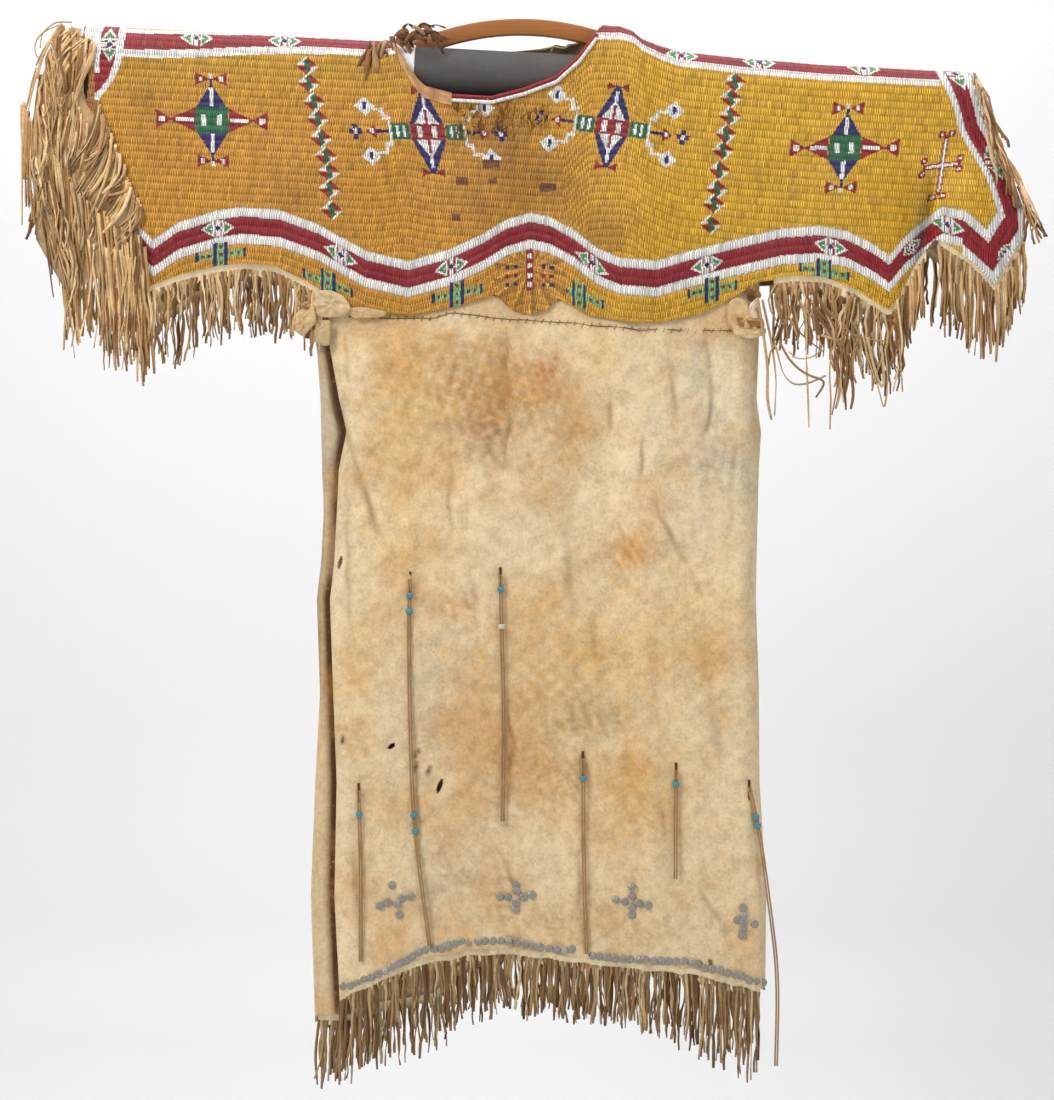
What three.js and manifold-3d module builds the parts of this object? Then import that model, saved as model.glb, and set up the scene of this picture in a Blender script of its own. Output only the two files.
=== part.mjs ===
// Beaded hide dress, hung flat on a padded rod that a bentwood handle carries.
// Millimetres, +Z up, the front faces -Y, +X is to the viewer's right.
// The origin is the underside of the handle's top, where a hook or a hand holds it.
import * as THREE from "three";
import { mergeVertices } from "three/addons/utils/BufferGeometryUtils.js";
import Module from "manifold-3d";

const wasm = await Module();
wasm.setup();

// Driving sizes
const SEAM_GAP = 0.3;
const EDGE_GAP = 0.9;
const ROD_RADIUS = 32;
const ROD_LEFT = -577;
const ROD_RIGHT = 585;
const ROD_TOP = -22.1;
const ROD_SLOPE = -0.053;
const ROD_SIDES = 24;
const HANDLE_INNER_RADIUS = 332;
const HANDLE_HEIGHT = 22;
const HANDLE_THICKNESS = 12;
const HANDLE_HALF_SPAN = 158;
const WRAP_WIDTH = 27;
const WRAP_THICKNESS = 1.5;
const BEADED_HIDE = 3;
const PLAIN_HIDE = 2;
const CLOTH_CLEARANCE = 0.8;
const WRAP_CLEARANCE = 3.6;
const FLAP_STEP = 24;
const FLAP_STEP_COLUMNS = [504, 515, 527, 536, 540, 545, 549].map((x) => ({ x }));
const TUCK = 14;
const TIE_THICKNESS = 5;
const SIDE_ROUNDING = 30;
const FOLD_EDGE_DEPTH = 20;
const STRIP_DEPTH = 13;
const CUFF_SWELL = 9;
const CUFF_LIFT = 4;
const FRINGE_THICKNESS = 1.8;
const FRINGE_STRIP = 6;
const STRAND_RADIUS = 2.6;
const THONG_RADIUS = 1.2;
const THONG_SPACING = 3.1;
const THONG_STANDOFF = 5.3;
const THONG_ROOT_STANDOFF = { f: 2.1 };
const THONG_SEAM_X = 309;
const BEAD_RADIUS = 4.7;
const BEAD_HOLE = 3.4;
const BEAD_HEIGHT = 6.5;

// A short table: its column names, then one row for each section or point.
function table(names, rows) {
  return rows.map((row) =>
    Object.fromEntries(names.map((name, k) => [name, row[k]])),
  );
}

// How far the cloth's ridge stands above the rod, where the handle lifts it right of the neck.
const RIDGE_LIFT = table(
  ["x", "rise"],
  [
    [-660, 0.6],
    [60, 0.6],
    [92, 34],
    [110, 36],
    [132, 34],
    [150, 26],
    [161, 17],
    [211, 7],
    [296, 3],
    [400, 0.6],
    [680, 0.6],
  ],
);

// Lower edge of the beaded yoke's front, from the left cuff to the right one.
const YOKE_FRONT_EDGE = table(
  ["x", "z"],
  [
    [-576, -80],
    [-566, -112],
    [-549, -148],
    [-523, -213],
    [-504, -256],
    [-498, -339],
    [-488, -339],
    [-451, -325],
    [-400, -313],
    [-363, -309],
    [-323, -313],
    [-282, -333],
    [-252, -351],
    [-211, -367],
    [-148, -375],
    [-95, -367],
    [-33, -348],
    [-22, -357],
    [-8, -369],
    [13, -374],
    [34, -369],
    [50, -353],
    [92, -376],
    [145, -385],
    [185, -385],
    [238, -374],
    [279, -353],
    [315, -331],
    [363, -325],
    [400, -327],
    [440, -343],
    [487, -372],
    [500, -354],
    [525, -305],
    [545, -277],
    [581, -300],
    [601, -317],
    [623, -342],
    [644, -305],
    [665, -271],
  ],
);

// Lower edge of the yoke's back: the same cut, with both wings spread.
const YOKE_BACK_EDGE = table(
  ["x", "z"],
  [
    [-650, -268],
    [-629, -305],
    [-608, -342],
    [-566, -300],
    [-533, -277],
    [-510, -305],
    [-472, -365],
    [-440, -340],
    [-363, -309],
    [-300, -324],
    [-252, -351],
    [-148, -375],
    [-33, -350],
    [92, -376],
    [185, -385],
    [279, -353],
    [315, -331],
    [400, -327],
    [440, -343],
    [487, -372],
    [500, -354],
    [545, -277],
    [601, -317],
    [623, -342],
    [665, -271],
  ],
);

// Neck opening, front and back. Outside it a sheet starts at the shoulder ridge.
const NECK_FRONT = table(
  ["x", "z"],
  [
    [-172, -8],
    [-168, -11],
    [-164, -18],
    [-158, -29],
    [-147, -48],
    [-129, -73],
    [-92, -83],
    [-38, -86],
    [5, -75],
    [48, -59],
    [78, -32],
    [102, 0],
    [110, 12],
  ],
);
const NECK_BACK = table(
  ["x", "z"],
  [
    [-172, -8],
    [-165, -13],
    [-152, -17],
    [-112, -15],
    [-86, -13],
    [-26, -17],
    [33, -13],
    [66, -9],
    [106, 9],
  ],
);

// Open edges of the sleeves, from the ridge down to the lower corner.
const RIGHT_CUFF = table(
  ["x", "z"],
  [
    [597, -50],
    [600, -56],
    [604, -70],
    [608, -92],
    [612, -120],
    [645, -181],
    [663, -239],
    [665, -262],
  ],
);
const LEFT_CUFF_BACK = table(
  ["x", "z"],
  [
    [-650, -259],
    [-648, -200],
    [-630, -130],
    [-597, -70],
    [-593, -36],
    [-589, -10],
    [-585, 7],
    [-582, 12],
  ],
);

// Side lines of the skirt: the front panel's folded left edge, the strip outside it, the right seam.
const SKIRT_SIDES = table(
  ["z", "outer", "fold", "right"],
  [
    [-330, -270, -253, 319],
    [-412, -271, -253, 318],
    [-484, -266, -240, 315],
    [-528, -265, -230, 321],
    [-577, -264, -240, 318],
    [-700, -259, -246, 315],
    [-751, -259, -252, 314],
    [-866, -266, -248, 318],
    [-993, -273, -243, 319],
    [-1144, -279, -246, 328],
    [-1320, -273, -237, 326],
  ],
);

// Lower edges of the skirt, where the fringe is cut.
const HEM_FRONT = table(
  ["x", "z"],
  [
    [-240, -1277],
    [-185, -1250],
    [-131, -1226],
    [-63, -1214],
    [-17, -1214],
    [71, -1224],
    [173, -1235],
    [231, -1240],
    [290, -1256],
    [328, -1267],
  ],
);
const HEM_BACK = table(
  ["x", "z"],
  [
    [-280, -1315],
    [-190, -1292],
    [-117, -1280],
    [-79, -1240],
    [-17, -1222],
    [53, -1224],
    [173, -1240],
    [252, -1256],
    [330, -1272],
  ],
);

// Large folds of the yoke's front. "out" is towards the viewer.
const YOKE_FOLDS = table(
  ["x", "width", "top", "out"],
  [
    [-330, 60, -90, 5],
    [-205, 45, -120, -5],
    [-75, 50, -110, 6],
    [25, 40, -90, -5],
    [160, 70, -110, 6],
    [300, 50, -120, -4],
    [440, 60, -90, 6],
    [517, 16, -150, -7],
    [600, 40, -200, 5],
  ],
);

// Large vertical folds of the skirt's front and back. A trough has a negative "out".
const SKIRT_FOLDS = table(
  ["x", "width", "top", "bottom", "out"],
  [
    [-215, 26, -380, -620, 6],
    [-99, 30, -500, -1250, -4],
    [-18, 12, -372, -600, -8],
    [20, 40, -380, -700, 5],
    [121, 34, -460, -1000, -5],
    [171, 28, -500, -1260, 6],
    [245, 13, -385, -560, -8],
    [285, 22, -420, -900, 5],
  ],
);
const BACK_FOLDS = table(
  ["x", "width", "top", "bottom", "out"],
  [
    [-190, 40, -420, -1270, -5],
    [-80, 34, -380, -900, 5],
    [40, 28, -380, -1200, -6],
    [150, 44, -450, -1250, 5],
    [240, 26, -400, -700, -5],
  ],
);

// Turned-back left cuff: its two side edges at each height.
const CUFF_TURNBACK = table(
  ["z", "left", "right"],
  [
    [4, -604, -579],
    [-25, -620, -582],
    [-70, -628, -583],
    [-100, -634, -570],
    [-140, -634, -540],
    [-180, -628, -532],
    [-215, -614, -516],
    [-245, -604, -508],
    [-290, -590, -500],
    [-335, -550, -489],
  ],
);

// Rips in the skirt's front that pass right through.
const RIPS = table(
  ["x", "z", "width", "height", "tilt"],
  [
    [-238, -702, 5, 17, 0.25],
    [-170, -944, 10, 5, -0.5],
    [-106, -997, 5.5, 20, 0.35],
    [252, -1229, 6, 6, 0],
  ],
);

// Pairs of thongs that hang free in front: x and z of each point of the route.
const THONGS = {
  a: [
    [-145, -723],
    [-147, -790],
    [-145, -929],
    [-141, -1035],
    [-131, -1121],
    [-119, -1208],
  ],
  b: [
    [-26, -717],
    [-24, -800],
    [-21, -908],
    [-23, -1043],
  ],
  c: [
    [-213, -1002],
    [-210, -1100],
    [-210, -1228],
  ],
  d: [
    [83, -960],
    [84, -1080],
    [85, -1144],
    [88, -1218],
  ],
  e: [
    [206, -975],
    [205, -1050],
    [205, -1119],
  ],
  f: [
    [303, -998],
    [317, -1062],
    [331, -1166],
    [341, -1249],
    [338, -1366],
  ],
};
const THONG_BEADS = table(
  ["thong", "z", "colour"],
  [
    ["a", -745, 0x4fa8b8],
    ["a", -766, 0x4fa8b8],
    ["a", -1035, 0x4fa8b8],
    ["a", -1056, 0x4fa8b8],
    ["b", -737, 0x4fa8b8],
    ["b", -786, 0xe9e6dc],
    ["c", -1034, 0x4fa8b8],
    ["d", -986, 0x4fa8b8],
    ["e", -994, 0x4fa8b8],
    ["f", -1038, 0x4fa8b8],
    ["f", -1049, 0x4fa8b8],
  ],
);

const finish = (colour, roughness) =>
  new THREE.MeshStandardMaterial({ color: colour, roughness, metalness: 0 });
const OCHRE_BEADS = finish(0xc08a2c, 0.45);
const RED_BEADS = finish(0xa52a30, 0.4);
const CREAM_HIDE = finish(0xdcc79c, 0.9);
const FRINGE_HIDE = finish(0xc4a878, 0.92);
const HANDLE_WOOD = finish(0xb8784b, 0.55);
const GREY_FOAM = finish(0x4c4e50, 0.95);
const WHITE_TAPE = finish(0xeceae4, 0.8);

const dress = new THREE.Group();

function addPiece(name, geometry, material) {
  const mesh = new THREE.Mesh(geometry, material);
  mesh.name = name;
  dress.add(mesh);
}

// Value of one column at a place, between the two rows beside it.
function along(rows, key, place, column) {
  const rising = rows[0][key] < rows[rows.length - 1][key];
  const sorted = rising ? rows : [...rows].reverse();
  const next = sorted.findIndex((row) => row[key] >= place);
  if (next === 0) return sorted[0][column];
  if (next < 0) return sorted[sorted.length - 1][column];
  const a = sorted[next - 1];
  const b = sorted[next];
  const share = (place - a[key]) / (b[key] - a[key]);
  return a[column] + share * (b[column] - a[column]);
}

// Rises smoothly from 0 to 1 between two places, in either direction.
function ease(from, to, place) {
  const share = THREE.MathUtils.clamp((place - from) / (to - from), 0, 1);
  return share * share * (3 - 2 * share);
}

const bump = (distance, width) => Math.exp(-((distance / width) ** 2));
const rodTop = (x) => ROD_TOP + ROD_SLOPE * x;
const rodAxis = (x) => rodTop(x) - ROD_RADIUS;
const ridgeRise = (x) => along(RIDGE_LIFT, "x", x, "rise");

// Half depth and half height of the cloth's outer face over the rod, with room for the wraps.
function clothWidth(x) {
  const overWrap =
    bump(x + HANDLE_HALF_SPAN - 4, 26) + bump(x - HANDLE_HALF_SPAN + 4, 26);
  return ROD_RADIUS + CLOTH_CLEARANCE + BEADED_HIDE + WRAP_CLEARANCE * overWrap;
}
const clothHeight = (x, extra) => clothWidth(x) + ridgeRise(x) + extra;
const ridgeHeight = (x) => rodAxis(x) + clothHeight(x, 0);

// Forward swell of the yoke's front below the rod, with the fold that steps out at the right sleeve.
function yokeSwell(x, z) {
  let out = 0;
  for (const fold of YOKE_FOLDS) {
    out += fold.out * bump(x - fold.x, fold.width) * ease(fold.top, fold.top - 150, z);
  }
  const step = THREE.MathUtils.smoothstep(x, 534, 549);
  return out + FLAP_STEP * step * ease(-140, -250, z) * (1 - 0.35 * ease(580, 665, x));
}

// Points of one section over the rod: from its top edge round to the lower edge, at even steps of
// length over the rod and at even steps below it.
function yokeSection(x, topZ, bottomZ, { extra, swell, capSteps, hangSteps }, inset = 0) {
  const axis = rodAxis(x);
  const height = clothHeight(x, extra(x)) - inset;
  const power = 2 + 2 * Math.min((ridgeRise(x) + extra(x)) / 20, 1);
  const width = clothWidth(x) - inset;
  const fine = [];
  const FINE_STEPS = 40;
  if (topZ > axis) {
    const top = Math.min((topZ - axis) / height, 1);
    const start = Math.asin(top ** (power / 2));
    for (let k = 0; k <= FINE_STEPS; k++) {
      const angle = start * (1 - k / FINE_STEPS);
      fine.push([
        width * Math.cos(angle) ** (2 / power),
        axis + height * Math.sin(angle) ** (2 / power),
      ]);
    }
  } else fine.push([width, topZ]);
  let capLength = 0;
  for (let k = 1; k < fine.length; k++)
    capLength += Math.hypot(fine[k][0] - fine[k - 1][0], fine[k][1] - fine[k - 1][1]);
  fine.push([width, bottomZ]);
  const last = fine[fine.length - 2];
  const total = capLength + Math.abs(last[1] - bottomZ);
  const cap = Math.min(Math.max(capLength, 25), total / 2);
  const at = (length) => {
    let left = length;
    for (let k = 1; k < fine.length; k++) {
      const [y0, z0] = fine[k - 1];
      const [y1, z1] = fine[k];
      const piece = Math.hypot(y1 - y0, z1 - z0);
      if (left <= piece || k === fine.length - 1) {
        const share = piece > 0 ? left / piece : 0;
        const y = y0 + (y1 - y0) * share;
        const z = z0 + (z1 - z0) * share;
        return [y + swell(x, z), z];
      }
      left -= piece;
    }
    return [width, bottomZ];
  };
  const points = [];
  for (let k = 0; k < capSteps; k++) points.push(at((cap * k) / capSteps));
  for (let k = 0; k <= hangSteps; k++)
    points.push(at(cap + ((total - cap) * k) / hangSteps));
  points.at = at;
  return points;
}

// Columns at every corner of the given tables, with no wider step than the given one.
function columnsFrom(tables, from, to, step) {
  const corners = [...new Set(tables.flat().map((row) => row.x))]
    .filter((x) => x >= from && x <= to)
    .sort((a, b) => a - b);
  const columns = [corners[0]];
  for (const corner of corners.slice(1)) {
    const last = columns[columns.length - 1];
    if (corner - last < 3) continue;
    const parts = Math.ceil((corner - last) / step);
    for (let k = 1; k <= parts; k++) columns.push(last + ((corner - last) * k) / parts);
  }
  return columns;
}

// A grid of points moved along its own outward directions. Rows run down, and columns run so that
// the outside is on the left.
function movedOut(grid, distance) {
  return grid.map((row, j) =>
    row.map((point, i) => {
      const down = new THREE.Vector3().subVectors(
        grid[Math.min(j + 1, grid.length - 1)][i],
        grid[Math.max(j - 1, 0)][i],
      );
      const across = new THREE.Vector3().subVectors(
        row[Math.min(i + 1, row.length - 1)],
        row[Math.max(i - 1, 0)],
      );
      const outward = down.cross(across).normalize();
      return point.clone().addScaledVector(outward, distance);
    }),
  );
}

// The inner points of a wall, which stay on their own side of the seam plane.
function insideOf(grid, thickness) {
  const seam = SEAM_GAP / 2;
  const inner = movedOut(grid, -thickness);
  inner.forEach((row, j) =>
    row.forEach((point, i) => {
      const inFront = grid[j][i].y < 0;
      point.y = inFront ? Math.min(point.y, -seam) : Math.max(point.y, seam);
    }),
  );
  return inner;
}

// A closed wall between a grid of outer points and a grid of inner ones.
function wallBetween(grid, inner) {
  const rows = grid.length;
  const columns = grid[0].length;
  const positions = [];
  for (const layer of [grid, inner])
    for (const row of layer) for (const p of row) positions.push(p.x, p.y, p.z);
  const outerAt = (j, i) => j * columns + i;
  const innerAt = (j, i) => rows * columns + j * columns + i;
  const faces = [];
  const quad = (a, b, c, d) => faces.push(a, b, c, a, c, d);
  for (let j = 0; j < rows - 1; j++)
    for (let i = 0; i < columns - 1; i++) {
      quad(outerAt(j, i), outerAt(j + 1, i), outerAt(j + 1, i + 1), outerAt(j, i + 1));
      quad(innerAt(j, i), innerAt(j, i + 1), innerAt(j + 1, i + 1), innerAt(j + 1, i));
    }
  for (let i = 0; i < columns - 1; i++) {
    const low = rows - 1;
    quad(outerAt(0, i), outerAt(0, i + 1), innerAt(0, i + 1), innerAt(0, i));
    quad(outerAt(low, i + 1), outerAt(low, i), innerAt(low, i), innerAt(low, i + 1));
  }
  for (let j = 0; j < rows - 1; j++) {
    const side = columns - 1;
    quad(outerAt(j + 1, 0), outerAt(j, 0), innerAt(j, 0), innerAt(j + 1, 0));
    quad(outerAt(j, side), outerAt(j + 1, side), innerAt(j + 1, side), innerAt(j, side));
  }
  return geometryFrom({ positions, faces });
}

function geometryFrom({ positions, faces }) {
  const geometry = new THREE.BufferGeometry();
  geometry.setAttribute("position", new THREE.Float32BufferAttribute(positions, 3));
  geometry.setIndex(faces);
  geometry.computeVertexNormals();
  return geometry;
}
const wall = (grid, thickness) => wallBetween(grid, insideOf(grid, thickness));

function solidFrom(geometry) {
  const plain = geometry.clone();
  plain.deleteAttribute("normal");
  plain.deleteAttribute("uv");
  const merged = mergeVertices(plain, 1e-3);
  return new wasm.Manifold(
    new wasm.Mesh({
      numProp: 3,
      vertProperties: new Float32Array(merged.attributes.position.array),
      triVerts: new Uint32Array(merged.index.array),
    }),
  );
}

function geometryOf(solid) {
  const mesh = solid.getMesh();
  return geometryFrom({
    positions: Array.from(mesh.vertProperties),
    faces: Array.from(mesh.triVerts),
  });
}

// Repeatable uneven values between -1 and 1.
function unevenness(seed) {
  let state = seed;
  return () => {
    state = (state * 16807) % 2147483647;
    return (state / 2147483647) * 2 - 1;
  };
}

// One fringe strand: three sides, a root inside its backing, a bent run and a thin end. A stepped
// strand moves out at once, so that it hangs clear in front of the cloth below its root.
function strand(root, { length, lean, out, bend, stepped }) {
  const stations = table(
    ["down", "drift", "forward", "width"],
    [[0, 0, 0, 1], ...(stepped ? [[0.02, 0.35, 0.95, 1]] : []), [0.55, 0.4, 0.9, 1], [1, 1, 1, 0.5]],
  );
  const positions = [];
  for (const { down, drift, forward, width } of stations)
    for (let k = 0; k < 3; k++) {
      const angle = (k / 3) * 2 * Math.PI + Math.PI / 6;
      const sideways = STRAND_RADIUS * width * Math.cos(angle);
      positions.push(
        root.x + lean * drift + bend * Math.sin(down * Math.PI) + sideways,
        root.y + out * forward + 0.3 * STRAND_RADIUS * width * Math.sin(angle),
        root.z - length * down,
      );
    }
  const faces = [0, 1, 2];
  for (let j = 0; j < stations.length - 1; j++)
    for (let k = 0; k < 3; k++) {
      const a = j * 3 + k;
      const b = j * 3 + ((k + 1) % 3);
      faces.push(a, a + 3, b, b, a + 3, b + 3);
    }
  const end = (stations.length - 1) * 3;
  faces.push(end, end + 2, end + 1);
  return geometryFrom({ positions, faces });
}

// A fringe: a narrow strip that runs along an edge, with strands that hang from it.
function fringe(name, points, away, count, strandAt, seed, rootShare = 0.55) {
  const side = points[0].y < 0 ? 1 : -1;
  const across = new THREE.Vector3().subVectors(points[points.length - 1], points[0]);
  const facesOut = away.clone().cross(across).y * side < 0;
  const edge = facesOut ? points : [...points].reverse();
  const near = edge.map((p) => p.clone().addScaledVector(away, EDGE_GAP));
  const far = edge.map((p) => p.clone().addScaledVector(away, EDGE_GAP + FRINGE_STRIP));
  const inside = [near, far].map((row) =>
    row.map((p) => p.clone().setY(p.y + side * FRINGE_THICKNESS)),
  );
  let backing = solidFrom(wallBetween([near, far], inside));
  const middle = near.map((p, k) => p.clone().lerp(far[k], rootShare));
  const lengths = [0];
  for (let k = 1; k < middle.length; k++)
    lengths.push(lengths[k - 1] + middle[k].distanceTo(middle[k - 1]));
  const total = lengths[lengths.length - 1];
  const uneven = unevenness(seed);
  for (let n = 0; n < count; n++) {
    const place = ((n + 0.5 + 0.22 * uneven()) / count) * total;
    const next = Math.max(1, lengths.findIndex((value) => value >= place));
    const share = (place - lengths[next - 1]) / (lengths[next] - lengths[next - 1]);
    const root = middle[next - 1].clone().lerp(middle[next], share);
    root.y += side * FRINGE_THICKNESS * 0.5;
    const { length, lean = 0, out = 0, stepped = false } = strandAt(root);
    const made = strand(root, {
      length: length * (1 + 0.12 * uneven()),
      lean: lean + 5 * uneven(),
      out: -side * (out + 2 * uneven()),
      bend: 3 * uneven(),
      stepped,
    });
    backing = backing.add(solidFrom(made));
  }
  addPiece(name, geometryOf(backing), FRINGE_HIDE);
}

// Padded rod, handle and wraps
function handleOutline(margin) {
  const low = HANDLE_INNER_RADIUS - margin;
  const high = HANDLE_INNER_RADIUS + HANDLE_HEIGHT + margin;
  const middle = HANDLE_INNER_RADIUS + HANDLE_HEIGHT / 2;
  const reach = Math.asin(HANDLE_HALF_SPAN / middle) + margin / middle;
  const shape = new THREE.Shape();
  shape.absarc(0, -HANDLE_INNER_RADIUS, high, Math.PI / 2 + reach, Math.PI / 2 - reach, true);
  shape.absarc(0, -HANDLE_INNER_RADIUS, low, Math.PI / 2 - reach, Math.PI / 2 + reach, false);
  return shape;
}

// An outline drawn in X and Z, made solid between two depths.
function solidBetween(shape, front, back, options = {}) {
  const depth = back - front;
  const geometry = new THREE.ExtrudeGeometry(shape, {
    depth,
    bevelEnabled: false,
    curveSegments: 12,
    ...options,
  });
  return geometry.rotateX(Math.PI / 2).translate(0, back, 0);
}

function onRodAxis(geometry, x) {
  return geometry
    .rotateZ(-Math.PI / 2)
    .rotateY(-Math.atan(ROD_SLOPE))
    .translate(x, 0, rodAxis(x));
}

function addHanger() {
  addPiece(
    "handle",
    solidBetween(handleOutline(0), -HANDLE_THICKNESS / 2, HANDLE_THICKNESS / 2),
    HANDLE_WOOD,
  );
  const middle = (ROD_LEFT + ROD_RIGHT) / 2;
  const length = (ROD_RIGHT - ROD_LEFT) / Math.cos(Math.atan(ROD_SLOPE));
  const rod = solidFrom(
    onRodAxis(new THREE.CylinderGeometry(ROD_RADIUS, ROD_RADIUS, length, ROD_SIDES), middle),
  );
  const slot = solidFrom(
    solidBetween(
      handleOutline(SEAM_GAP),
      -ROD_RADIUS - 10,
      HANDLE_THICKNESS / 2 + SEAM_GAP,
    ),
  );
  addPiece("padded_rod", geometryOf(rod.subtract(slot)), GREY_FOAM);
  const inside = ROD_RADIUS + SEAM_GAP;
  const outside = inside + WRAP_THICKNESS;
  const profile = [
    new THREE.Vector2(inside, 0),
    new THREE.Vector2(outside, 0),
    new THREE.Vector2(outside, WRAP_WIDTH),
    new THREE.Vector2(inside, WRAP_WIDTH),
    new THREE.Vector2(inside, 0),
  ];
  for (const [side, x] of [
    ["left", -HANDLE_HALF_SPAN - 9],
    ["right", HANDLE_HALF_SPAN - 18],
  ]) {
    const ring = onRodAxis(new THREE.LatheGeometry(profile, 24), x);
    addPiece("rod_wrap_" + side, geometryOf(solidFrom(ring).subtract(slot)), WHITE_TAPE);
  }
}

// Yoke
function frontTop(x) {
  if (x > RIGHT_CUFF[0].x) return along(RIGHT_CUFF, "x", x, "z");
  if (x > NECK_FRONT[0].x && x < NECK_FRONT[NECK_FRONT.length - 1].x)
    return along(NECK_FRONT, "x", x, "z");
  return ridgeHeight(x);
}
function backTop(x) {
  if (x > RIGHT_CUFF[0].x) return along(RIGHT_CUFF, "x", x, "z");
  const corner = LEFT_CUFF_BACK[LEFT_CUFF_BACK.length - 1].x;
  if (x < corner) return along(LEFT_CUFF_BACK, "x", x, "z");
  if (x > NECK_BACK[0].x && x < NECK_BACK[NECK_BACK.length - 1].x)
    return along(NECK_BACK, "x", x, "z");
  return ridgeHeight(x);
}
const yokeFrontLow = (x) => along(YOKE_FRONT_EDGE, "x", x, "z");
const yokeBackLow = (x) => along(YOKE_BACK_EDGE, "x", x, "z");
const backExtra = (x) => 14 * bump(x + 20, 95);

function transpose(columns) {
  return columns[0].map((_, j) => columns.map((column) => column[j]));
}

function yokeFrontColumns() {
  return columnsFrom(
    [YOKE_FRONT_EDGE, NECK_FRONT, RIGHT_CUFF, FLAP_STEP_COLUMNS],
    -576,
    665,
    40,
  );
}

const FRONT_CUT = { extra: () => 0, swell: yokeSwell, capSteps: 4, hangSteps: 4 };
const BACK_CUT = { extra: backExtra, swell: () => 0, capSteps: 4, hangSteps: 3 };

// One half of the yoke: its grid of outer points, or of inner ones with an inset.
function yokeGrid(columns, top, low, cut, side, inset) {
  return transpose(
    columns.map((x) =>
      yokeSection(x, top(x), low(x), cut, inset).map(
        ([y, z]) => new THREE.Vector3(x, side * (y + SEAM_GAP / 2), z),
      ),
    ),
  );
}

function addYoke() {
  const frontColumns = yokeFrontColumns();
  const backColumns = columnsFrom(
    [YOKE_BACK_EDGE, NECK_BACK, RIGHT_CUFF, LEFT_CUFF_BACK],
    -650,
    665,
    50,
  ).reverse();
  const [front, frontInside] = [0, BEADED_HIDE].map((inset) =>
    yokeGrid(frontColumns, frontTop, yokeFrontLow, FRONT_CUT, -1, inset),
  );
  const [back, backInside] = [0, BEADED_HIDE].map((inset) =>
    yokeGrid(backColumns, backTop, yokeBackLow, BACK_CUT, 1, inset),
  );
  addPiece("yoke_front", wallBetween(front, frontInside), OCHRE_BEADS);
  addPiece("yoke_back", wallBetween(back, backInside), OCHRE_BEADS);
  return { front, back };
}

// Bead binding on the front of the neck: the yoke's own points, moved out.
function addNeckEdging() {
  const NECK_START = -92;
  const lengths = [0.6, 7, 13];
  const columns = yokeFrontColumns().filter((x) => x >= NECK_START && x <= 102);
  const base = lengths.map((length) =>
    columns.map((x) => {
      const section = yokeSection(x, frontTop(x), yokeFrontLow(x), FRONT_CUT);
      const [y, z] = section.at(length);
      return new THREE.Vector3(x, -y, z);
    }),
  );
  const proud = EDGE_GAP + PLAIN_HIDE;
  addPiece("neck_edging", wall(movedOut(base, proud), PLAIN_HIDE), RED_BEADS);
}

// Skirt
function foldDepth(folds, x, z) {
  let out = 0;
  for (const fold of folds) {
    const reach = ease(fold.top, fold.top - 60, z) * (1 - ease(fold.bottom + 120, fold.bottom, z));
    out += fold.out * bump(x - fold.x, fold.width) * reach;
  }
  return out;
}

const skirtDepth = ROD_RADIUS + CLOTH_CLEARANCE - 2;

function skirtFrontPoint(x, z) {
  const fold = along(SKIRT_SIDES, "z", z, "fold");
  const right = along(SKIRT_SIDES, "z", z, "right");
  const underYoke = 1 - ease(-395, -470, z);
  const flat =
    skirtDepth +
    yokeSwell(x, z) * underYoke +
    foldDepth(SKIRT_FOLDS, x, z) +
    3 * ease(-420, -700, z);
  const round = (distance) =>
    Math.sqrt(1 - (1 - Math.min(Math.max(distance / SIDE_ROUNDING, 0), 1)) ** 2);
  const atRight = flat * round(right - x);
  const atLeft = FOLD_EDGE_DEPTH + (flat - FOLD_EDGE_DEPTH) * round(x - fold);
  return new THREE.Vector3(x, -Math.min(atRight, atLeft) - SEAM_GAP / 2, z);
}

function addSkirtFront() {
  const COLUMNS = [0, 0.01, 0.03, 0.06, 0.11, 0.17, 0.24, 0.31, 0.38, 0.42, 0.46, 0.52, 0.59];
  COLUMNS.push(0.66, 0.73, 0.8, 0.85, 0.9, 0.94, 0.97, 0.99, 1);
  const ROWS = 13;
  const grid = [];
  for (let j = 0; j <= ROWS; j++) {
    const row = COLUMNS.map((s) => {
      const sides = (z) => [
        along(SKIRT_SIDES, "z", z, "fold"),
        along(SKIRT_SIDES, "z", z, "right"),
      ];
      const [l0, r0] = sides(-345);
      const [l1, r1] = sides(-1260);
      const top = Math.min(yokeFrontLow(l0 + s * (r0 - l0)) + TUCK, -326);
      const hem = along(HEM_FRONT, "x", l1 + s * (r1 - l1), "z");
      const z = top + (hem - top) * (j / ROWS);
      const [left, right] = sides(z);
      return skirtFrontPoint(left + s * (right - left), z);
    });
    grid.push(row);
  }
  let panel = solidFrom(wall(grid, PLAIN_HIDE));
  for (const rip of RIPS) {
    const outline = new THREE.Shape();
    outline.absellipse(0, 0, rip.width / 2, rip.height / 2, 0, 2 * Math.PI, false);
    const cut = solidBetween(outline, -60, -5, { curveSegments: 4 })
      .rotateY(rip.tilt)
      .translate(rip.x, 0, rip.z);
    panel = panel.subtract(solidFrom(cut));
  }
  addPiece("skirt_front", geometryOf(panel), CREAM_HIDE);
  return grid;
}

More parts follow.
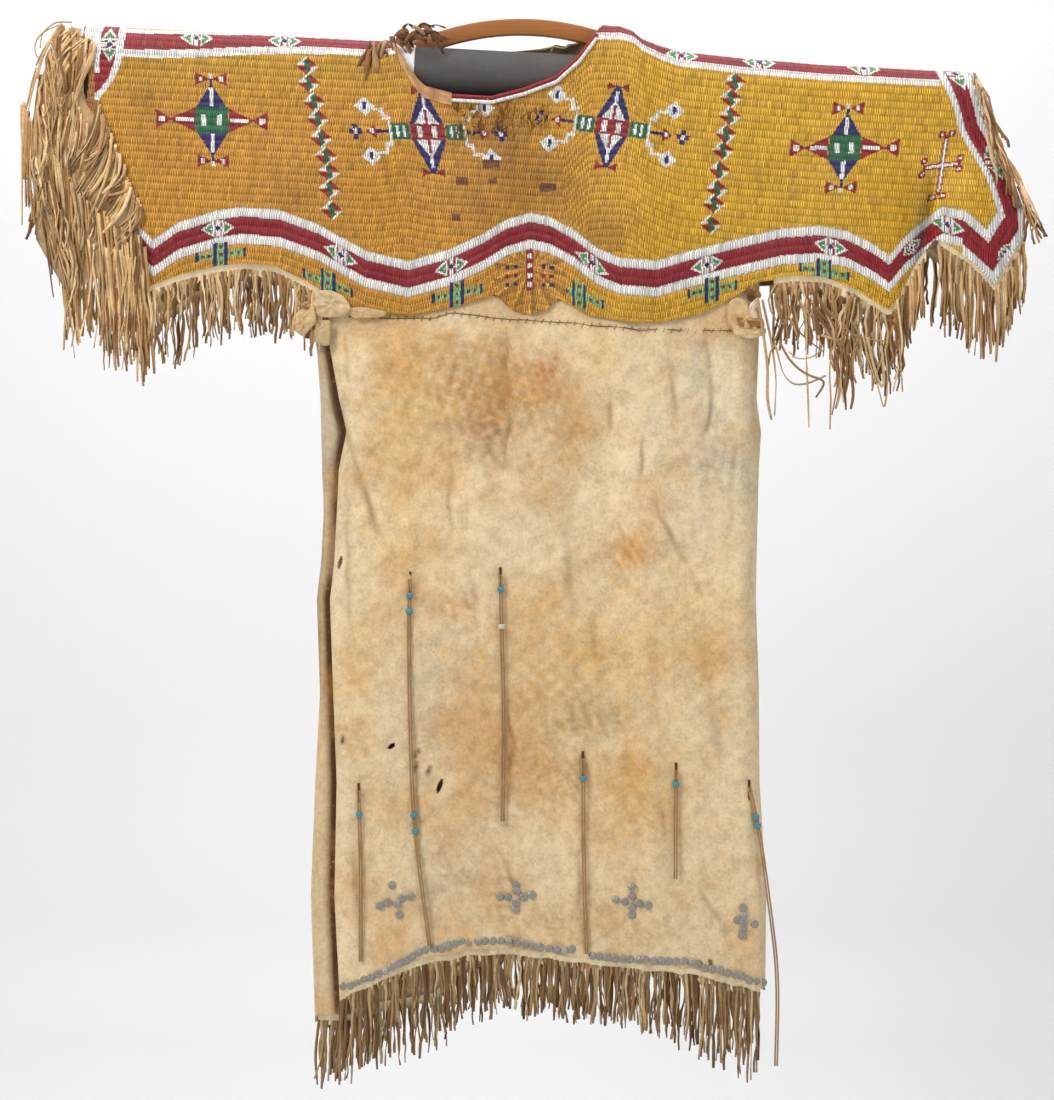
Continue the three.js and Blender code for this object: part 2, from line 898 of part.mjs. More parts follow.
// Plan of the skirt's back panel, from the right seam round the back to the strip that shows at the
// left of the front. "from" is the side line that "dx" is measured from.
const BACK_PLAN = table(
  ["from", "dx", "y"],
  [
    ["right", 0, 0.3],
    ["right", -5, 15],
    ["right", -16, 26],
    ["right", -38, 32.3],
    ["right", -90, 32.3],
    ["right", -150, 32.3],
    ["right", -210, 32.3],
    ["right", -270, 32.3],
    ["outer", 275, 32.3],
    ["outer", 215, 32.3],
    ["outer", 155, 32.3],
    ["outer", 95, 32.3],
    ["outer", 40, 32.3],
    ["outer", 16, 26],
    ["outer", 3, 14],
    ["outer", 0, 1],
    ["outer", 5, -9],
    ["fold", -6, -STRIP_DEPTH],
    ["fold", 10, -STRIP_DEPTH],
    ["fold", 20, -STRIP_DEPTH + 3],
  ],
);

function addSkirtBack() {
  const ROWS = 10;
  const STRIP_TOP = -352;
  const STRIP_HEM = -1304;
  const grid = [];
  for (let j = 0; j <= ROWS; j++) {
    const row = BACK_PLAN.map((plan) => {
      const lineAt = (z) => along(SKIRT_SIDES, "z", z, plan.from) + plan.dx;
      const onStrip = plan.y < 0;
      const top = onStrip ? STRIP_TOP : Math.min(yokeBackLow(lineAt(-345)) + TUCK, -326);
      const hem = onStrip ? STRIP_HEM : along(HEM_BACK, "x", lineAt(-1260), "z");
      const z = top + (hem - top) * (j / ROWS);
      const x = lineAt(z);
      const flat = plan.y > 30;
      return new THREE.Vector3(x, plan.y + (flat ? foldDepth(BACK_FOLDS, x, z) : 0), z);
    });
    grid.push(row);
  }
  addPiece("skirt_back", wall(grid, PLAIN_HIDE), CREAM_HIDE);
  return grid;
}

// Left cuff, turned back to the front so that its flesh side and fringe show.
function addCuffTurnback() {
  const shares = [0, 0.25, 0.5, 0.75, 1];
  const grid = CUFF_TURNBACK.map(({ z, left, right }) =>
    shares.map((share) => {
      const x = left + share * (right - left);
      const axis = rodAxis(x);
      const over = Math.min(Math.max((z - axis) / 44, 0), 1);
      const round = Math.sqrt(1 - over ** 2);
      const swell = CUFF_SWELL * Math.sin(Math.PI * share) * ease(0, -60, z);
      const edge = clothWidth(x) + EDGE_GAP + CUFF_LIFT * (1 - share);
      return new THREE.Vector3(x, -(edge * round + swell + PLAIN_HIDE), z);
    }),
  );
  addPiece("cuff_turnback", wall(grid, PLAIN_HIDE), FRINGE_HIDE);
  return grid;
}

// Fringes
const DOWN = new THREE.Vector3(0, 0, -1);

function edgePart(row, from, to) {
  return row.filter((p) => p.x >= from - 0.1 && p.x <= to + 0.1);
}

function addFringes(yoke, skirtFront, skirtBack, cuff) {
  const frontLow = yoke.front[yoke.front.length - 1];
  const backLow = yoke.back[yoke.back.length - 1];
  fringe("fringe_sleeve_left", edgePart(frontLow, -488, -265), DOWN, 24, () => ({ length: 62 }), 11);
  fringe(
    "fringe_sleeve_right",
    edgePart(frontLow, 335, 500),
    DOWN,
    20,
    (p) => ({ length: p.x < 470 ? 118 : 84, lean: -4, out: 4 }),
    23,
  );
  fringe(
    "fringe_sleeve_fold",
    edgePart(frontLow, 504, 536),
    DOWN,
    4,
    () => ({ length: 78, out: -3 }),
    29,
  );
  fringe(
    "fringe_sleeve_flap",
    edgePart(frontLow, 549, 665),
    DOWN,
    17,
    (p) => ({ length: 118 - Math.abs(p.x - 590) * 0.35, out: 2 }),
    31,
  );
  fringe(
    "fringe_cuff_right",
    yoke.front[0].filter((p) => p.x >= 599 && p.z > -242),
    new THREE.Vector3(0.96, 0, 0.28),
    11,
    (p) => ({
      length: p.z > -200 ? 92 : 64,
      lean: 16,
      out: 9 + 18 * (1 - ease(-140, -250, p.z)),
      stepped: true,
    }),
    37,
    0.85,
  );
  fringe("fringe_back_left", edgePart(backLow, -608, -270), DOWN, 20, () => ({ length: 85 }), 41);
  fringe("fringe_back_right", edgePart(backLow, 335, 623), DOWN, 20, () => ({ length: 95 }), 43);
  fringe(
    "fringe_cuff_back",
    yoke.back[0].filter((p) => p.x < -592 && p.z > -242),
    new THREE.Vector3(-0.9, 0, 0.44),
    10,
    () => ({ length: 80, lean: -12, out: 11, stepped: true }),
    47,
    0.85,
  );
  fringe(
    "fringe_cuff_left",
    cuff.map((row) => row[0]).slice(0, 8),
    new THREE.Vector3(-1, 0, 0.1),
    13,
    (p) => ({ length: 88, lean: -8, out: 11 + 16 * ease(-45, 0, p.z), stepped: true }),
    53,
  );
  fringe(
    "fringe_cuff_low",
    cuff[cuff.length - 1],
    DOWN,
    8,
    () => ({ length: 100, lean: 4, out: 2 }),
    59,
  );
  const hemFront = skirtFront[skirtFront.length - 1];
  fringe(
    "fringe_hem_front",
    hemFront.filter((p) => p.y < -20),
    DOWN,
    46,
    (p) => ({ length: 78 + 26 * ease(-140, -230, p.x) + 40 * ease(150, 300, p.x) }),
    61,
  );
  const hemBack = skirtBack[skirtBack.length - 1];
  fringe(
    "fringe_hem_back",
    hemBack.filter((p) => p.y > 20),
    DOWN,
    30,
    () => ({ length: 84 }),
    67,
  );
  fringe(
    "fringe_hem_strip",
    hemBack.filter((p) => p.y < -5),
    DOWN,
    5,
    () => ({ length: 84, lean: -8 }),
    71,
  );
}

// Knotted hide at each armpit: a pointed fold with a small loop round its root.
function addArmpitTies() {
  const folds = [
    ["left", [-251, -372], [[-34, 6], [-8, 30], [26, 16], [30, -6], [2, -30], [-22, -22]]],
    ["right", [300, -366], [[-22, 18], [4, 26], [26, 4], [22, -20], [-4, -26], [-24, -8]]],
  ];
  for (const [side, [x, z], corners] of folds) {
    const shape = new THREE.Shape(corners.map(([dx, dz]) => new THREE.Vector2(dx, dz)));
    const under = [...corners, [0, 0]].map(([dx, dz]) => yokeSwell(x + dx, z + dz));
    const back = -(clothWidth(x) + SEAM_GAP / 2 + Math.max(...under) + 2 * SEAM_GAP);
    const front = back - TIE_THICKNESS;
    const flap = solidBetween(shape, front, back).translate(x, 0, z);
    const knot = new THREE.SphereGeometry(11, 8, 6).scale(1, 0.5, 0.8);
    knot.translate(x + 6, front - 1, z + 3);
    addPiece(
      "armpit_tie_" + side,
      geometryOf(solidFrom(flap).add(solidFrom(knot))),
      CREAM_HIDE,
    );
  }
}

// Thongs and their beads
// Middle line of a pair of thongs, just in front of the skirt. The last pair passes its right seam.
function thongPath(name) {
  return THONGS[name].map(([x, z], k) => {
    const surface = skirtFrontPoint(Math.min(x, THONG_SEAM_X), z).y;
    const standoff = k === 0 ? (THONG_ROOT_STANDOFF[name] ?? THONG_STANDOFF) : THONG_STANDOFF;
    return new THREE.Vector3(x, surface - standoff, z);
  });
}
const thongSteps = (name) => THONGS[name].length + 2;
const smoothCurve = (points) => new THREE.CatmullRomCurve3(points, false, "centripetal");

function addThongs() {
  const section = new THREE.Shape();
  section.absarc(0, 0, THONG_RADIUS, 0, 2 * Math.PI, false);
  for (const name of Object.keys(THONGS))
    for (const [copy, sign] of [
      [1, -1],
      [2, 1],
    ]) {
      const aside = (sign * THONG_SPACING) / 2;
      const points = thongPath(name).map((p) => p.clone().setX(p.x + aside));
      const tube = new THREE.ExtrudeGeometry(section, {
        steps: thongSteps(name),
        curveSegments: 4,
        extrudePath: smoothCurve(points),
      });
      addPiece("thong_" + name + copy, tube, FRINGE_HIDE);
    }
}

function addThongBeads() {
  const half = BEAD_HEIGHT / 2;
  const profile = [
    new THREE.Vector2(BEAD_HOLE, -half),
    new THREE.Vector2(BEAD_RADIUS - 0.8, -half),
    new THREE.Vector2(BEAD_RADIUS, 0),
    new THREE.Vector2(BEAD_RADIUS - 0.8, half),
    new THREE.Vector2(BEAD_HOLE, half),
    new THREE.Vector2(BEAD_HOLE, -half),
  ];
  const count = {};
  for (const { thong, z, colour } of THONG_BEADS) {
    const points = smoothCurve(thongPath(thong)).getSpacedPoints(thongSteps(thong));
    const next = points.findIndex((p) => p.z <= z);
    const above = points[next - 1];
    const below = points[next];
    const place = above.clone().lerp(below, (above.z - z) / (above.z - below.z));
    const run = below.clone().sub(above).normalize();
    const turn = new THREE.Quaternion().setFromUnitVectors(new THREE.Vector3(0, -1, 0), run);
    const bead = new THREE.LatheGeometry(profile, 8).applyQuaternion(turn);
    bead.translate(place.x, place.y, place.z);
    count[thong] = (count[thong] ?? 0) + 1;
    addPiece("bead_" + thong + count[thong], bead, finish(colour, 0.3));
  }
}

addHanger();
const yoke = addYoke();
addNeckEdging();
const skirtFront = addSkirtFront();
const skirtBack = addSkirtBack();
const cuff = addCuffTurnback();
addFringes(yoke, skirtFront, skirtBack, cuff);
addArmpitTies();
addThongs();
addThongBeads();

export default dress;
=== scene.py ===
"""Beaded hide dress on a padded rod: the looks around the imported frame.

Laid out as a Blender add-on and run as a script. Sizes in the tables are millimetres in the row's
frame, or pixels of the photograph where a name says so; the meshes are made in metres.
"""

import math

import bmesh
import bpy
import numpy as np
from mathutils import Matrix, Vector


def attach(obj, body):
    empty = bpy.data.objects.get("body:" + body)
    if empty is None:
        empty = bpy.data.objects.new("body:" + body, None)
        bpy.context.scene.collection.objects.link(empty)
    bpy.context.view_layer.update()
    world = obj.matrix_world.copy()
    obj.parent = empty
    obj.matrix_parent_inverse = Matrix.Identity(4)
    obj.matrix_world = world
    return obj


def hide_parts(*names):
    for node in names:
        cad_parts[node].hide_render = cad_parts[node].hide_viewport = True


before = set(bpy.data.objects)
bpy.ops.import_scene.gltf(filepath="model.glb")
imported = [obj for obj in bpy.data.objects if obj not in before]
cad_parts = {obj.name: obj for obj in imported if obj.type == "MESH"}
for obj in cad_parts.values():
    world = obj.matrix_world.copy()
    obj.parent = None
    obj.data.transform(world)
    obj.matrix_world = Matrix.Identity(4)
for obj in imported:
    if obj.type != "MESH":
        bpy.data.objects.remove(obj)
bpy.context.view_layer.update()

bl_info = {
    "name": "Beaded hide dress",
    "version": (1, 0, 0),
    "blender": (4, 5, 0),
    "location": "3D View > Sidebar > Dress",
    "description": "Builds a beaded hide dress on its padded rod around a packed frame",
    "category": "Object",
}

MM = 0.001
BODY = "root"

# The photograph's scale and the pixel of the hang point
PIXEL = 1.32
HANG_X, HANG_Y = 520.0, 31.0

# Camera
PHOTO_WIDTH, PHOTO_HEIGHT = 1054, 1100
CAMERA_DISTANCE = 4.0
FRONT_DEPTH = 36.0
SENSOR = 36.0

# Rod, handle and cloth, as in the part's source
ROD_RADIUS = 32.0
ROD_LEFT, ROD_RIGHT = -577.0, 585.0
ROD_TOP, ROD_SLOPE = -22.1, -0.053
HANDLE_INNER_RADIUS = 332.0
HANDLE_HEIGHT = 22.0
HANDLE_THICKNESS = 12.0
HANDLE_HALF_SPAN = 158.0
HANDLE_ROUNDING = 2.6
HANDLE_STEPS = 72
BEADED_HIDE = 3.0
PLAIN_HIDE = 2.0
CLOTH_CLEARANCE = 0.8
WRAP_CLEARANCE = 3.6
SEAM_HALF_GAP = 0.15
FLAP_STEP = 24.0
SIDE_ROUNDING = 30.0
FOLD_EDGE_DEPTH = 20.0
SKIRT_DEPTH = ROD_RADIUS + CLOTH_CLEARANCE - 2.0
TUCK = 14.0
# Heights at which the skirt's top and hem take their width, and the highest that its top may lie
TOP_LEVEL, HEM_LEVEL, HIGHEST_TOP = -345, -1260, -326
# More than any length down the yoke
LONGEST = 900.0
HIDE_THICKNESS = 1.8
LINING_DROP, LINING_THICKNESS = 2.2, 1.4
STRAND_THICKNESS = 1.1
CUFF_SWELL, CUFF_LIFT = 9.0, 4.0
EDGE_GAP = 0.9

# Beadwork
LANE = 9.9
ROWS_IN_LANE = 6
STRING = 1.6
SLANT = 0.2
LANE_RELIEF = 0.7
BEADED_LENGTH = 462

RIDGE_LIFT = [
    (-660, 0.6), (60, 0.6), (92, 34), (110, 36), (132, 34), (150, 26),
    (161, 17), (211, 7), (296, 3), (400, 0.6), (680, 0.6),
]
YOKE_FRONT_EDGE = [
    (-576, -80), (-566, -112), (-549, -148), (-523, -213), (-504, -256), (-498, -339),
    (-488, -339), (-451, -325), (-400, -313), (-363, -309), (-323, -313), (-282, -333),
    (-252, -351), (-211, -367), (-148, -375), (-95, -367), (-33, -348), (-22, -357),
    (-8, -369), (13, -374), (34, -369), (50, -353), (92, -376), (145, -385), (185, -385),
    (238, -374), (279, -353), (315, -331), (363, -325), (400, -327), (440, -343),
    (487, -372), (500, -354), (525, -305), (545, -277), (581, -300), (601, -317),
    (623, -342), (644, -305), (665, -271),
]
YOKE_BACK_EDGE = [
    (-650, -268), (-629, -305), (-608, -342), (-566, -300), (-533, -277), (-510, -305),
    (-472, -365), (-440, -340), (-363, -309), (-300, -324), (-252, -351), (-148, -375),
    (-33, -350), (92, -376), (185, -385), (279, -353), (315, -331), (400, -327),
    (440, -343), (487, -372), (500, -354), (545, -277), (601, -317), (623, -342),
    (665, -271),
]
NECK_FRONT = [
    (-172, -8), (-168, -11), (-164, -18), (-158, -29), (-147, -48), (-129, -73),
    (-92, -83), (-38, -86), (5, -75), (48, -59), (78, -32), (102, 0), (110, 12),
]
NECK_BACK = [
    (-172, -8), (-165, -13), (-152, -17), (-112, -15), (-86, -13), (-26, -17),
    (33, -13), (66, -9), (106, 9),
]
RIGHT_CUFF = [
    (597, -50), (600, -56), (604, -70), (608, -92), (612, -120), (645, -181),
    (663, -239), (665, -262),
]
LEFT_CUFF_BACK = [
    (-650, -259), (-648, -200), (-630, -130), (-597, -70), (-593, -36), (-589, -10),
    (-585, 7), (-582, 12),
]
# z, outer line of the strip, folded left edge, right seam
SKIRT_SIDES = [
    (-330, -270, -253, 319), (-412, -271, -253, 318), (-484, -266, -240, 315),
    (-528, -265, -230, 321), (-577, -264, -240, 318), (-700, -259, -246, 315),
    (-751, -259, -252, 314), (-866, -266, -248, 318), (-993, -273, -243, 319),
    (-1144, -279, -246, 328), (-1320, -273, -237, 326),
]
HEM_FRONT = [
    (-240, -1277), (-185, -1250), (-131, -1226), (-63, -1214), (-17, -1214), (71, -1224),
    (173, -1235), (231, -1240), (290, -1256), (328, -1267),
]
HEM_BACK = [
    (-280, -1315), (-190, -1292), (-117, -1280), (-79, -1240), (-17, -1222), (53, -1224),
    (173, -1240), (252, -1256), (330, -1272),
]
# x, width, top, out
YOKE_FOLDS = [
    (-330, 60, -90, 5), (-205, 45, -120, -5), (-75, 50, -110, 6), (25, 40, -90, -5),
    (160, 70, -110, 6), (300, 50, -120, -4), (440, 60, -90, 6), (517, 16, -150, -7),
    (600, 40, -200, 5),
]
# x, width, top, bottom, out
SKIRT_FOLDS = [
    (-215, 26, -380, -620, 6), (-99, 30, -500, -1250, -4), (-18, 12, -372, -600, -8),
    (20, 40, -380, -700, 5), (121, 34, -460, -1000, -5), (171, 28, -500, -1260, 6),
    (245, 13, -385, -560, -8), (285, 22, -420, -900, 5),
]
BACK_FOLDS = [
    (-190, 40, -420, -1270, -5), (-80, 34, -380, -900, 5), (40, 28, -380, -1200, -6),
    (150, 44, -450, -1250, 5), (240, 26, -400, -700, -5),
]
# z, left edge, right edge
CUFF_TURNBACK = [
    (4, -604, -579), (-25, -620, -582), (-70, -628, -583), (-100, -634, -570),
    (-140, -634, -540), (-180, -628, -532), (-215, -614, -516), (-245, -604, -508),
    (-290, -590, -500), (-335, -550, -489),
]
# x, z, width, height, tilt of each rip that passes through the skirt's front
RIPS = [
    (-238, -702, 5, 17, 0.25), (-170, -944, 10, 5, -0.5), (-106, -997, 5.5, 20, 0.35),
    (252, -1229, 6, 6, 0.0),
]
THONG_RADIUS, THONG_SPACING, THONG_STANDOFF = 1.2, 3.1, 5.3
THONG_ROOT_STANDOFF = {"f": 2.1}
THONG_SEAM_X = 309
THONGS = {
    "a": [(-145, -723), (-147, -790), (-145, -929), (-141, -1035), (-131, -1121), (-119, -1208)],
    "b": [(-26, -717), (-24, -800), (-21, -908), (-23, -1043)],
    "c": [(-213, -1002), (-210, -1100), (-210, -1228)],
    "d": [(83, -960), (84, -1080), (85, -1144), (88, -1218)],
    "e": [(206, -975), (205, -1050), (205, -1119)],
    "f": [(303, -998), (317, -1062), (331, -1166), (341, -1249), (338, -1366)],
}
THONG_BEADS = [
    ("a", -745, "turquoise"), ("a", -766, "turquoise"), ("a", -1035, "turquoise"),
    ("a", -1056, "turquoise"), ("b", -737, "turquoise"), ("b", -786, "white"),
    ("c", -1034, "turquoise"), ("d", -986, "turquoise"), ("e", -994, "turquoise"),
    ("f", -1038, "turquoise"), ("f", -1049, "turquoise"),
]

# Radius and height of the section of a glass bead on a thong
BEAD_PROFILE = [
    (3.35, -3.1), (4.3, -3.2), (4.65, -1.7), (4.7, 0), (4.65, 1.7), (4.3, 3.2), (3.35, 3.1), (3.3, 0),
]

# Bead colours
OCHRE_LEFT = (208, 147, 48)
OCHRE_TOP = (198, 151, 42)
OCHRE_RIGHT = (222, 171, 44)
BEAD_WHITE = (238, 235, 230)
BEAD_RED = (150, 32, 40)
BEAD_BLUE = (44, 38, 100)
BEAD_GREEN = (40, 106, 66)
BEAD_LIGHT_GREEN = (128, 188, 120)
BARE_BROWN = (120, 74, 42)
STAIN_BROWN = (150, 100, 46)
RAW_HIDE = (176, 112, 56)
DEEP_SHADOW = (38, 25, 18)

# Hide colours
SKIRT_CREAM = (243, 219, 175)
STRIP_CREAM = (250, 230, 188)
CUFF_CREAM = (206, 180, 134)
THONG_BROWN = (172, 136, 90)
# Painted shade along the skirt's creases
CREASE_SHADE_BROWN = (118, 80, 46)
# Painted shade in the skirt's small rips, and the colour of its dark scars
RIP_SHADE_AND_SCAR_BROWN = (70, 44, 26)

# The wave band's upper edge in photograph pixels; four lanes follow it
WAVE = [
    (60, 250), (84, 205), (100, 194), (120, 207), (153, 240), (178.6, 222), (217, 210.5),
    (242, 207), (280.6, 210.5), (319, 224.5), (365, 250), (408, 261), (448, 250),
    (483, 234), (507, 219), (530.6, 212), (549, 216), (573, 229), (597, 248), (620, 258),
    (656, 261), (684, 252.5), (731, 240), (782, 228), (820, 226), (846, 231), (874, 245),
    (889, 256), (904.5, 237), (925, 219), (940, 208), (960.6, 213), (981, 228), (989, 241),
]
WAVE_DEPTH = 36.5
WAVE_WHITE = 9.5
# Outer edges of the right sleeve's end, in pixels
SLEEVE_SIDE = [(972, 69), (983.6, 122), (1009, 168), (1022, 212), (1023, 237)]
SLEEVE_LOW = [(1023, 237), (992.5, 287), (945, 245), (935, 238)]


def along(rows, place, column=1):
    """One column of a table at a place, straight between the rows beside it."""
    keys = np.array([row[0] for row in rows], float)
    values = np.array([row[column] for row in rows], float)
    order = np.argsort(keys, kind="stable")
    return np.interp(place, keys[order], values[order])


def ease(start, end, place):
    share = np.clip((np.asarray(place, float) - start) / (end - start), 0, 1)
    return share * share * (3 - 2 * share)


def bump(distance, width):
    return np.exp(-((np.asarray(distance, float) / width) ** 2))


def ripple(x, z, seed, size, count=7):
    """A smooth uneven surface, about -1 to 1, whose waves are about that size."""
    rng = np.random.RandomState(seed)
    total = 0
    for _ in range(count):
        angle = rng.uniform(0, 2 * math.pi)
        wave = 2 * math.pi / (size * rng.uniform(0.6, 1.7))
        phase = rng.uniform(0, 2 * math.pi)
        total = total + np.sin((x * math.cos(angle) + z * math.sin(angle)) * wave + phase)
    return total / math.sqrt(count)


def to_linear(colour):
    """A colour from 0 to 255 as the eye sees it, in linear light."""
    c = np.asarray(colour, float) / 255
    return np.where(c <= 0.04045, c / 12.92, ((c + 0.055) / 1.055) ** 2.4)


def blend(colours, tint, share):
    """Colours moved towards a tint by a share for each."""
    share = share[:, None]
    return colours * (1 - share) + to_linear(tint) * share


def spot(px, py, cx, cy, rx, ry, sharp=1.0):
    """A soft round spot, 1 at its middle."""
    return np.exp(-(((px - cx) / rx) ** 2 + ((py - cy) / ry) ** 2) * sharp)


def rgba(colour):
    return (*to_linear(colour), 1)


def from_pixels(px, py):
    """x and z in millimetres of a place in the photograph."""
    return (px - HANG_X) * PIXEL, (HANG_Y - py) * PIXEL


def rod_axis(x):
    return ROD_TOP + ROD_SLOPE * x - ROD_RADIUS


def cloth_width(x):
    over_wrap = bump(x + HANDLE_HALF_SPAN - 4, 26) + bump(x - HANDLE_HALF_SPAN + 4, 26)
    return ROD_RADIUS + CLOTH_CLEARANCE + BEADED_HIDE + WRAP_CLEARANCE * over_wrap


def yoke_swell(x, z):
    out = 0
    for fold_x, width, top, forward in YOKE_FOLDS:
        out = out + forward * bump(x - fold_x, width) * ease(top, top - 150, z)
    step = ease(534, 549, x)
    return out + FLAP_STEP * step * ease(-140, -250, z) * (1 - 0.35 * ease(580, 665, x))


def fold_depth(folds, x, z):
    out = 0
    for fold_x, width, top, bottom, forward in folds:
        reach = ease(top, top - 60, z) * (1 - ease(bottom + 120, bottom, z))
        out = out + forward * bump(x - fold_x, width) * reach
    return out


def skirt_front_depth(x, z):
    """How far in front of the middle plane the skirt's front lies."""
    fold, right = along(SKIRT_SIDES, z, 2), along(SKIRT_SIDES, z, 3)
    under_yoke = 1 - ease(-395, -470, z)
    flat = SKIRT_DEPTH + yoke_swell(x, z) * under_yoke + fold_depth(SKIRT_FOLDS, x, z)
    flat = flat + 3 * ease(-420, -700, z)

    def rounding(distance):
        return np.sqrt(1 - (1 - np.clip(distance / SIDE_ROUNDING, 0, 1)) ** 2)

    at_right = flat * rounding(right - x)
    at_left = FOLD_EDGE_DEPTH + (flat - FOLD_EDGE_DEPTH) * rounding(x - fold)
    return np.minimum(at_right, at_left) + SEAM_HALF_GAP


# Meshes


def add_object(name, points, faces, material, body=BODY):
    """A mesh object from points in millimetres, which rides the body if one is given."""
    mesh = bpy.data.meshes.new(name)
    mesh.from_pydata((np.asarray(points, float) * MM).tolist(), [], [list(f) for f in faces])
    mesh.validate()
    mesh.shade_smooth()
    mesh.materials.append(MATERIALS[material])
    made = bpy.data.objects.new(name, mesh)
    bpy.context.scene.collection.objects.link(made)
    if body:
        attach(made, body)
    return made


def grid_faces(rows, columns, start=0, turned=False):
    """Quads of a grid whose rows run down and whose outside is seen with columns to the right."""
    j, i = np.meshgrid(np.arange(rows - 1), np.arange(columns - 1), indexing="ij")
    a = (j * columns + i).ravel() + start
    quads = np.stack([a, a + columns, a + columns + 1, a + 1], axis=1)
    return quads[:, ::-1] if turned else quads


def unit(vectors):
    return vectors / np.maximum(np.linalg.norm(vectors, axis=-1, keepdims=True), 1e-9)


def grid_normals(grid):
    """Outward unit vectors of a grid of points (rows, columns, 3)."""
    return unit(np.cross(np.gradient(grid, axis=0), np.gradient(grid, axis=1)))


def shell(grid, thickness):
    """Points and quads of a closed sheet: the grid, its inside and its four edges."""
    rows, columns = grid.shape[:2]
    inner = grid - grid_normals(grid) * thickness
    points = np.concatenate([grid.reshape(-1, 3), inner.reshape(-1, 3)])
    count = rows * columns
    faces = [grid_faces(rows, columns), grid_faces(rows, columns, count, turned=True)]
    index = np.arange(count).reshape(rows, columns)
    rim = [index[0, ::-1], index[:, 0], index[-1, :], index[::-1, -1]]
    for line in rim:
        a, b = line[:-1], line[1:]
        faces.append(np.stack([a, a + count, b + count, b], axis=1)[:, ::-1])
    return points, np.concatenate(faces)


def paint_points(made, name, colours):
    """A colour for each point, kept as an attribute that the material reads."""
    layer = made.data.color_attributes.new(name, "FLOAT_COLOR", "POINT")
    full = np.ones((len(made.data.vertices), 4))
    full[:, :3] = colours
    layer.data.foreach_set("color", full.ravel())


def paint_faces(made, name, colours):
    """A colour for each face, kept on its corners."""
    layer = made.data.color_attributes.new(name, "FLOAT_COLOR", "CORNER")
    sizes = np.array([len(p.vertices) for p in made.data.polygons])
    full = np.ones((int(sizes.sum()), 4))
    full[:, :3] = np.repeat(colours, sizes, axis=0)
    layer.data.foreach_set("color", full.ravel())


def ring_faces(rings, sides):
    """Quads between rings of points that follow one another."""
    faces = []
    for j in range(rings - 1):
        for k in range(sides):
            a, b = j * sides + k, j * sides + (k + 1) % sides
            faces.append((a, b, b + sides, a + sides))
    return faces


def tube(path, radii, sides=12):
    """Points and quads of a closed tube along a path; radii is one number or one for each point."""
    path = np.asarray(path, float)
    radii = np.broadcast_to(np.asarray(radii, float), (len(path),))[:, None, None]
    run = unit(np.gradient(path, axis=0))
    first = unit(np.cross(run, [0.0, 1.0, 0.0]))
    second = np.cross(run, first)
    angles = np.linspace(0, 2 * math.pi, sides, endpoint=False)[None, :, None]
    ring = path[:, None, :] + radii * np.cos(angles) * first[:, None, :]
    ring = ring + radii * np.sin(angles) * second[:, None, :]
    last = (len(path) - 1) * sides
    ends = [tuple(range(sides))[::-1], tuple(range(last, last + sides))]
    return ring.reshape(-1, 3), ring_faces(len(path), sides) + ends


class Pile:
    """Pieces of mesh gathered into one object, with a colour for each point if any is given."""

    def __init__(self):
        self.points, self.faces, self.colours = [], [], []
        self.count = 0

    def add(self, points, faces, colours=None):
        self.points.append(np.asarray(points, float))
        self.faces += [tuple(int(v) + self.count for v in face) for face in faces]
        if colours is not None:
            self.colours.append(np.broadcast_to(colours, (len(points), 3)))
        self.count += len(points)

    def make(self, name, material):
        made = add_object(name, np.concatenate(self.points), self.faces, material)
        if self.colours:
            layer = "bead_colour" if material == "beads" else "hide_colour"
            paint_points(made, layer, np.concatenate(self.colours))
        return made


# Materials


class Tree:
    """Short names for making and joining the nodes of one tree."""

    def __init__(self, tree):
        self.tree = tree

    def link(self, source, target):
        self.tree.links.new(source, target)

    def node(self, kind, inputs=None, **settings):
        made = self.tree.nodes.new(kind)
        for key, value in settings.items():
            setattr(made, key, value)
        for key, value in (inputs or {}).items():
            self.fill(made.inputs[key], value)
        return made

    def fill(self, socket, value):
        if isinstance(value, bpy.types.NodeSocket):
            self.link(value, socket)
        else:
            socket.default_value = value

    def math(self, operation, a, b=0.0, clamp=False):
        made = self.node("ShaderNodeMath", {0: a, 1: b}, operation=operation)
        made.use_clamp = clamp
        return made.outputs[0]

    def scaled(self, value, by, plus):
        return self.math("ADD", self.math("MULTIPLY", value, by), plus)

    def mix(self, factor, a, b, blend="MIX"):
        made = self.node("ShaderNodeMix", data_type="RGBA", blend_type=blend)
        for name, value in (("Factor", factor), ("A", a), ("B", b)):
            self.fill(next(s for s in made.inputs if s.name == name and s.enabled), value)
        return next(s for s in made.outputs if s.enabled)

    def shaded(self, colour, shade):
        """A colour multiplied by a grey value."""
        grey = self.node("ShaderNodeCombineColor", {0: shade, 1: shade, 2: shade}).outputs[0]
        return self.mix(1.0, colour, grey, "MULTIPLY")

    def noise(self, vector, scale, detail=4.0, roughness=0.55):
        values = {"Vector": vector, "Scale": scale, "Detail": detail, "Roughness": roughness}
        return self.node("ShaderNodeTexNoise", values).outputs["Fac"]

    def stretched(self, vector, scale):
        return self.node("ShaderNodeMapping", {"Vector": vector, "Scale": scale}).outputs[0]

    def ramp(self, value, low, high):
        """0 at the low value and 1 at the high one."""
        values = {"Value": value, "From Min": low, "From Max": high}
        return self.node("ShaderNodeMapRange", values).outputs[0]


def new_group(name, inputs, outputs):
    """A shader node group with named inputs (name, type, default) and outputs (name, type)."""
    group = bpy.data.node_groups.new(name, "ShaderNodeTree")
    for label, kind, default in inputs:
        socket = group.interface.new_socket(label, in_out="INPUT", socket_type=kind)
        if default is not None:
            socket.default_value = default
    for label, kind in outputs:
        group.interface.new_socket(label, in_out="OUTPUT", socket_type=kind)
    tree = Tree(group)
    return tree, group.nodes.new("NodeGroupInput").outputs, group.nodes.new("NodeGroupOutput").inputs


def link_all(tree, given, out):
    """Joins the group's results to its outputs by name."""
    for name, source in given.items():
        tree.link(source, out[name])


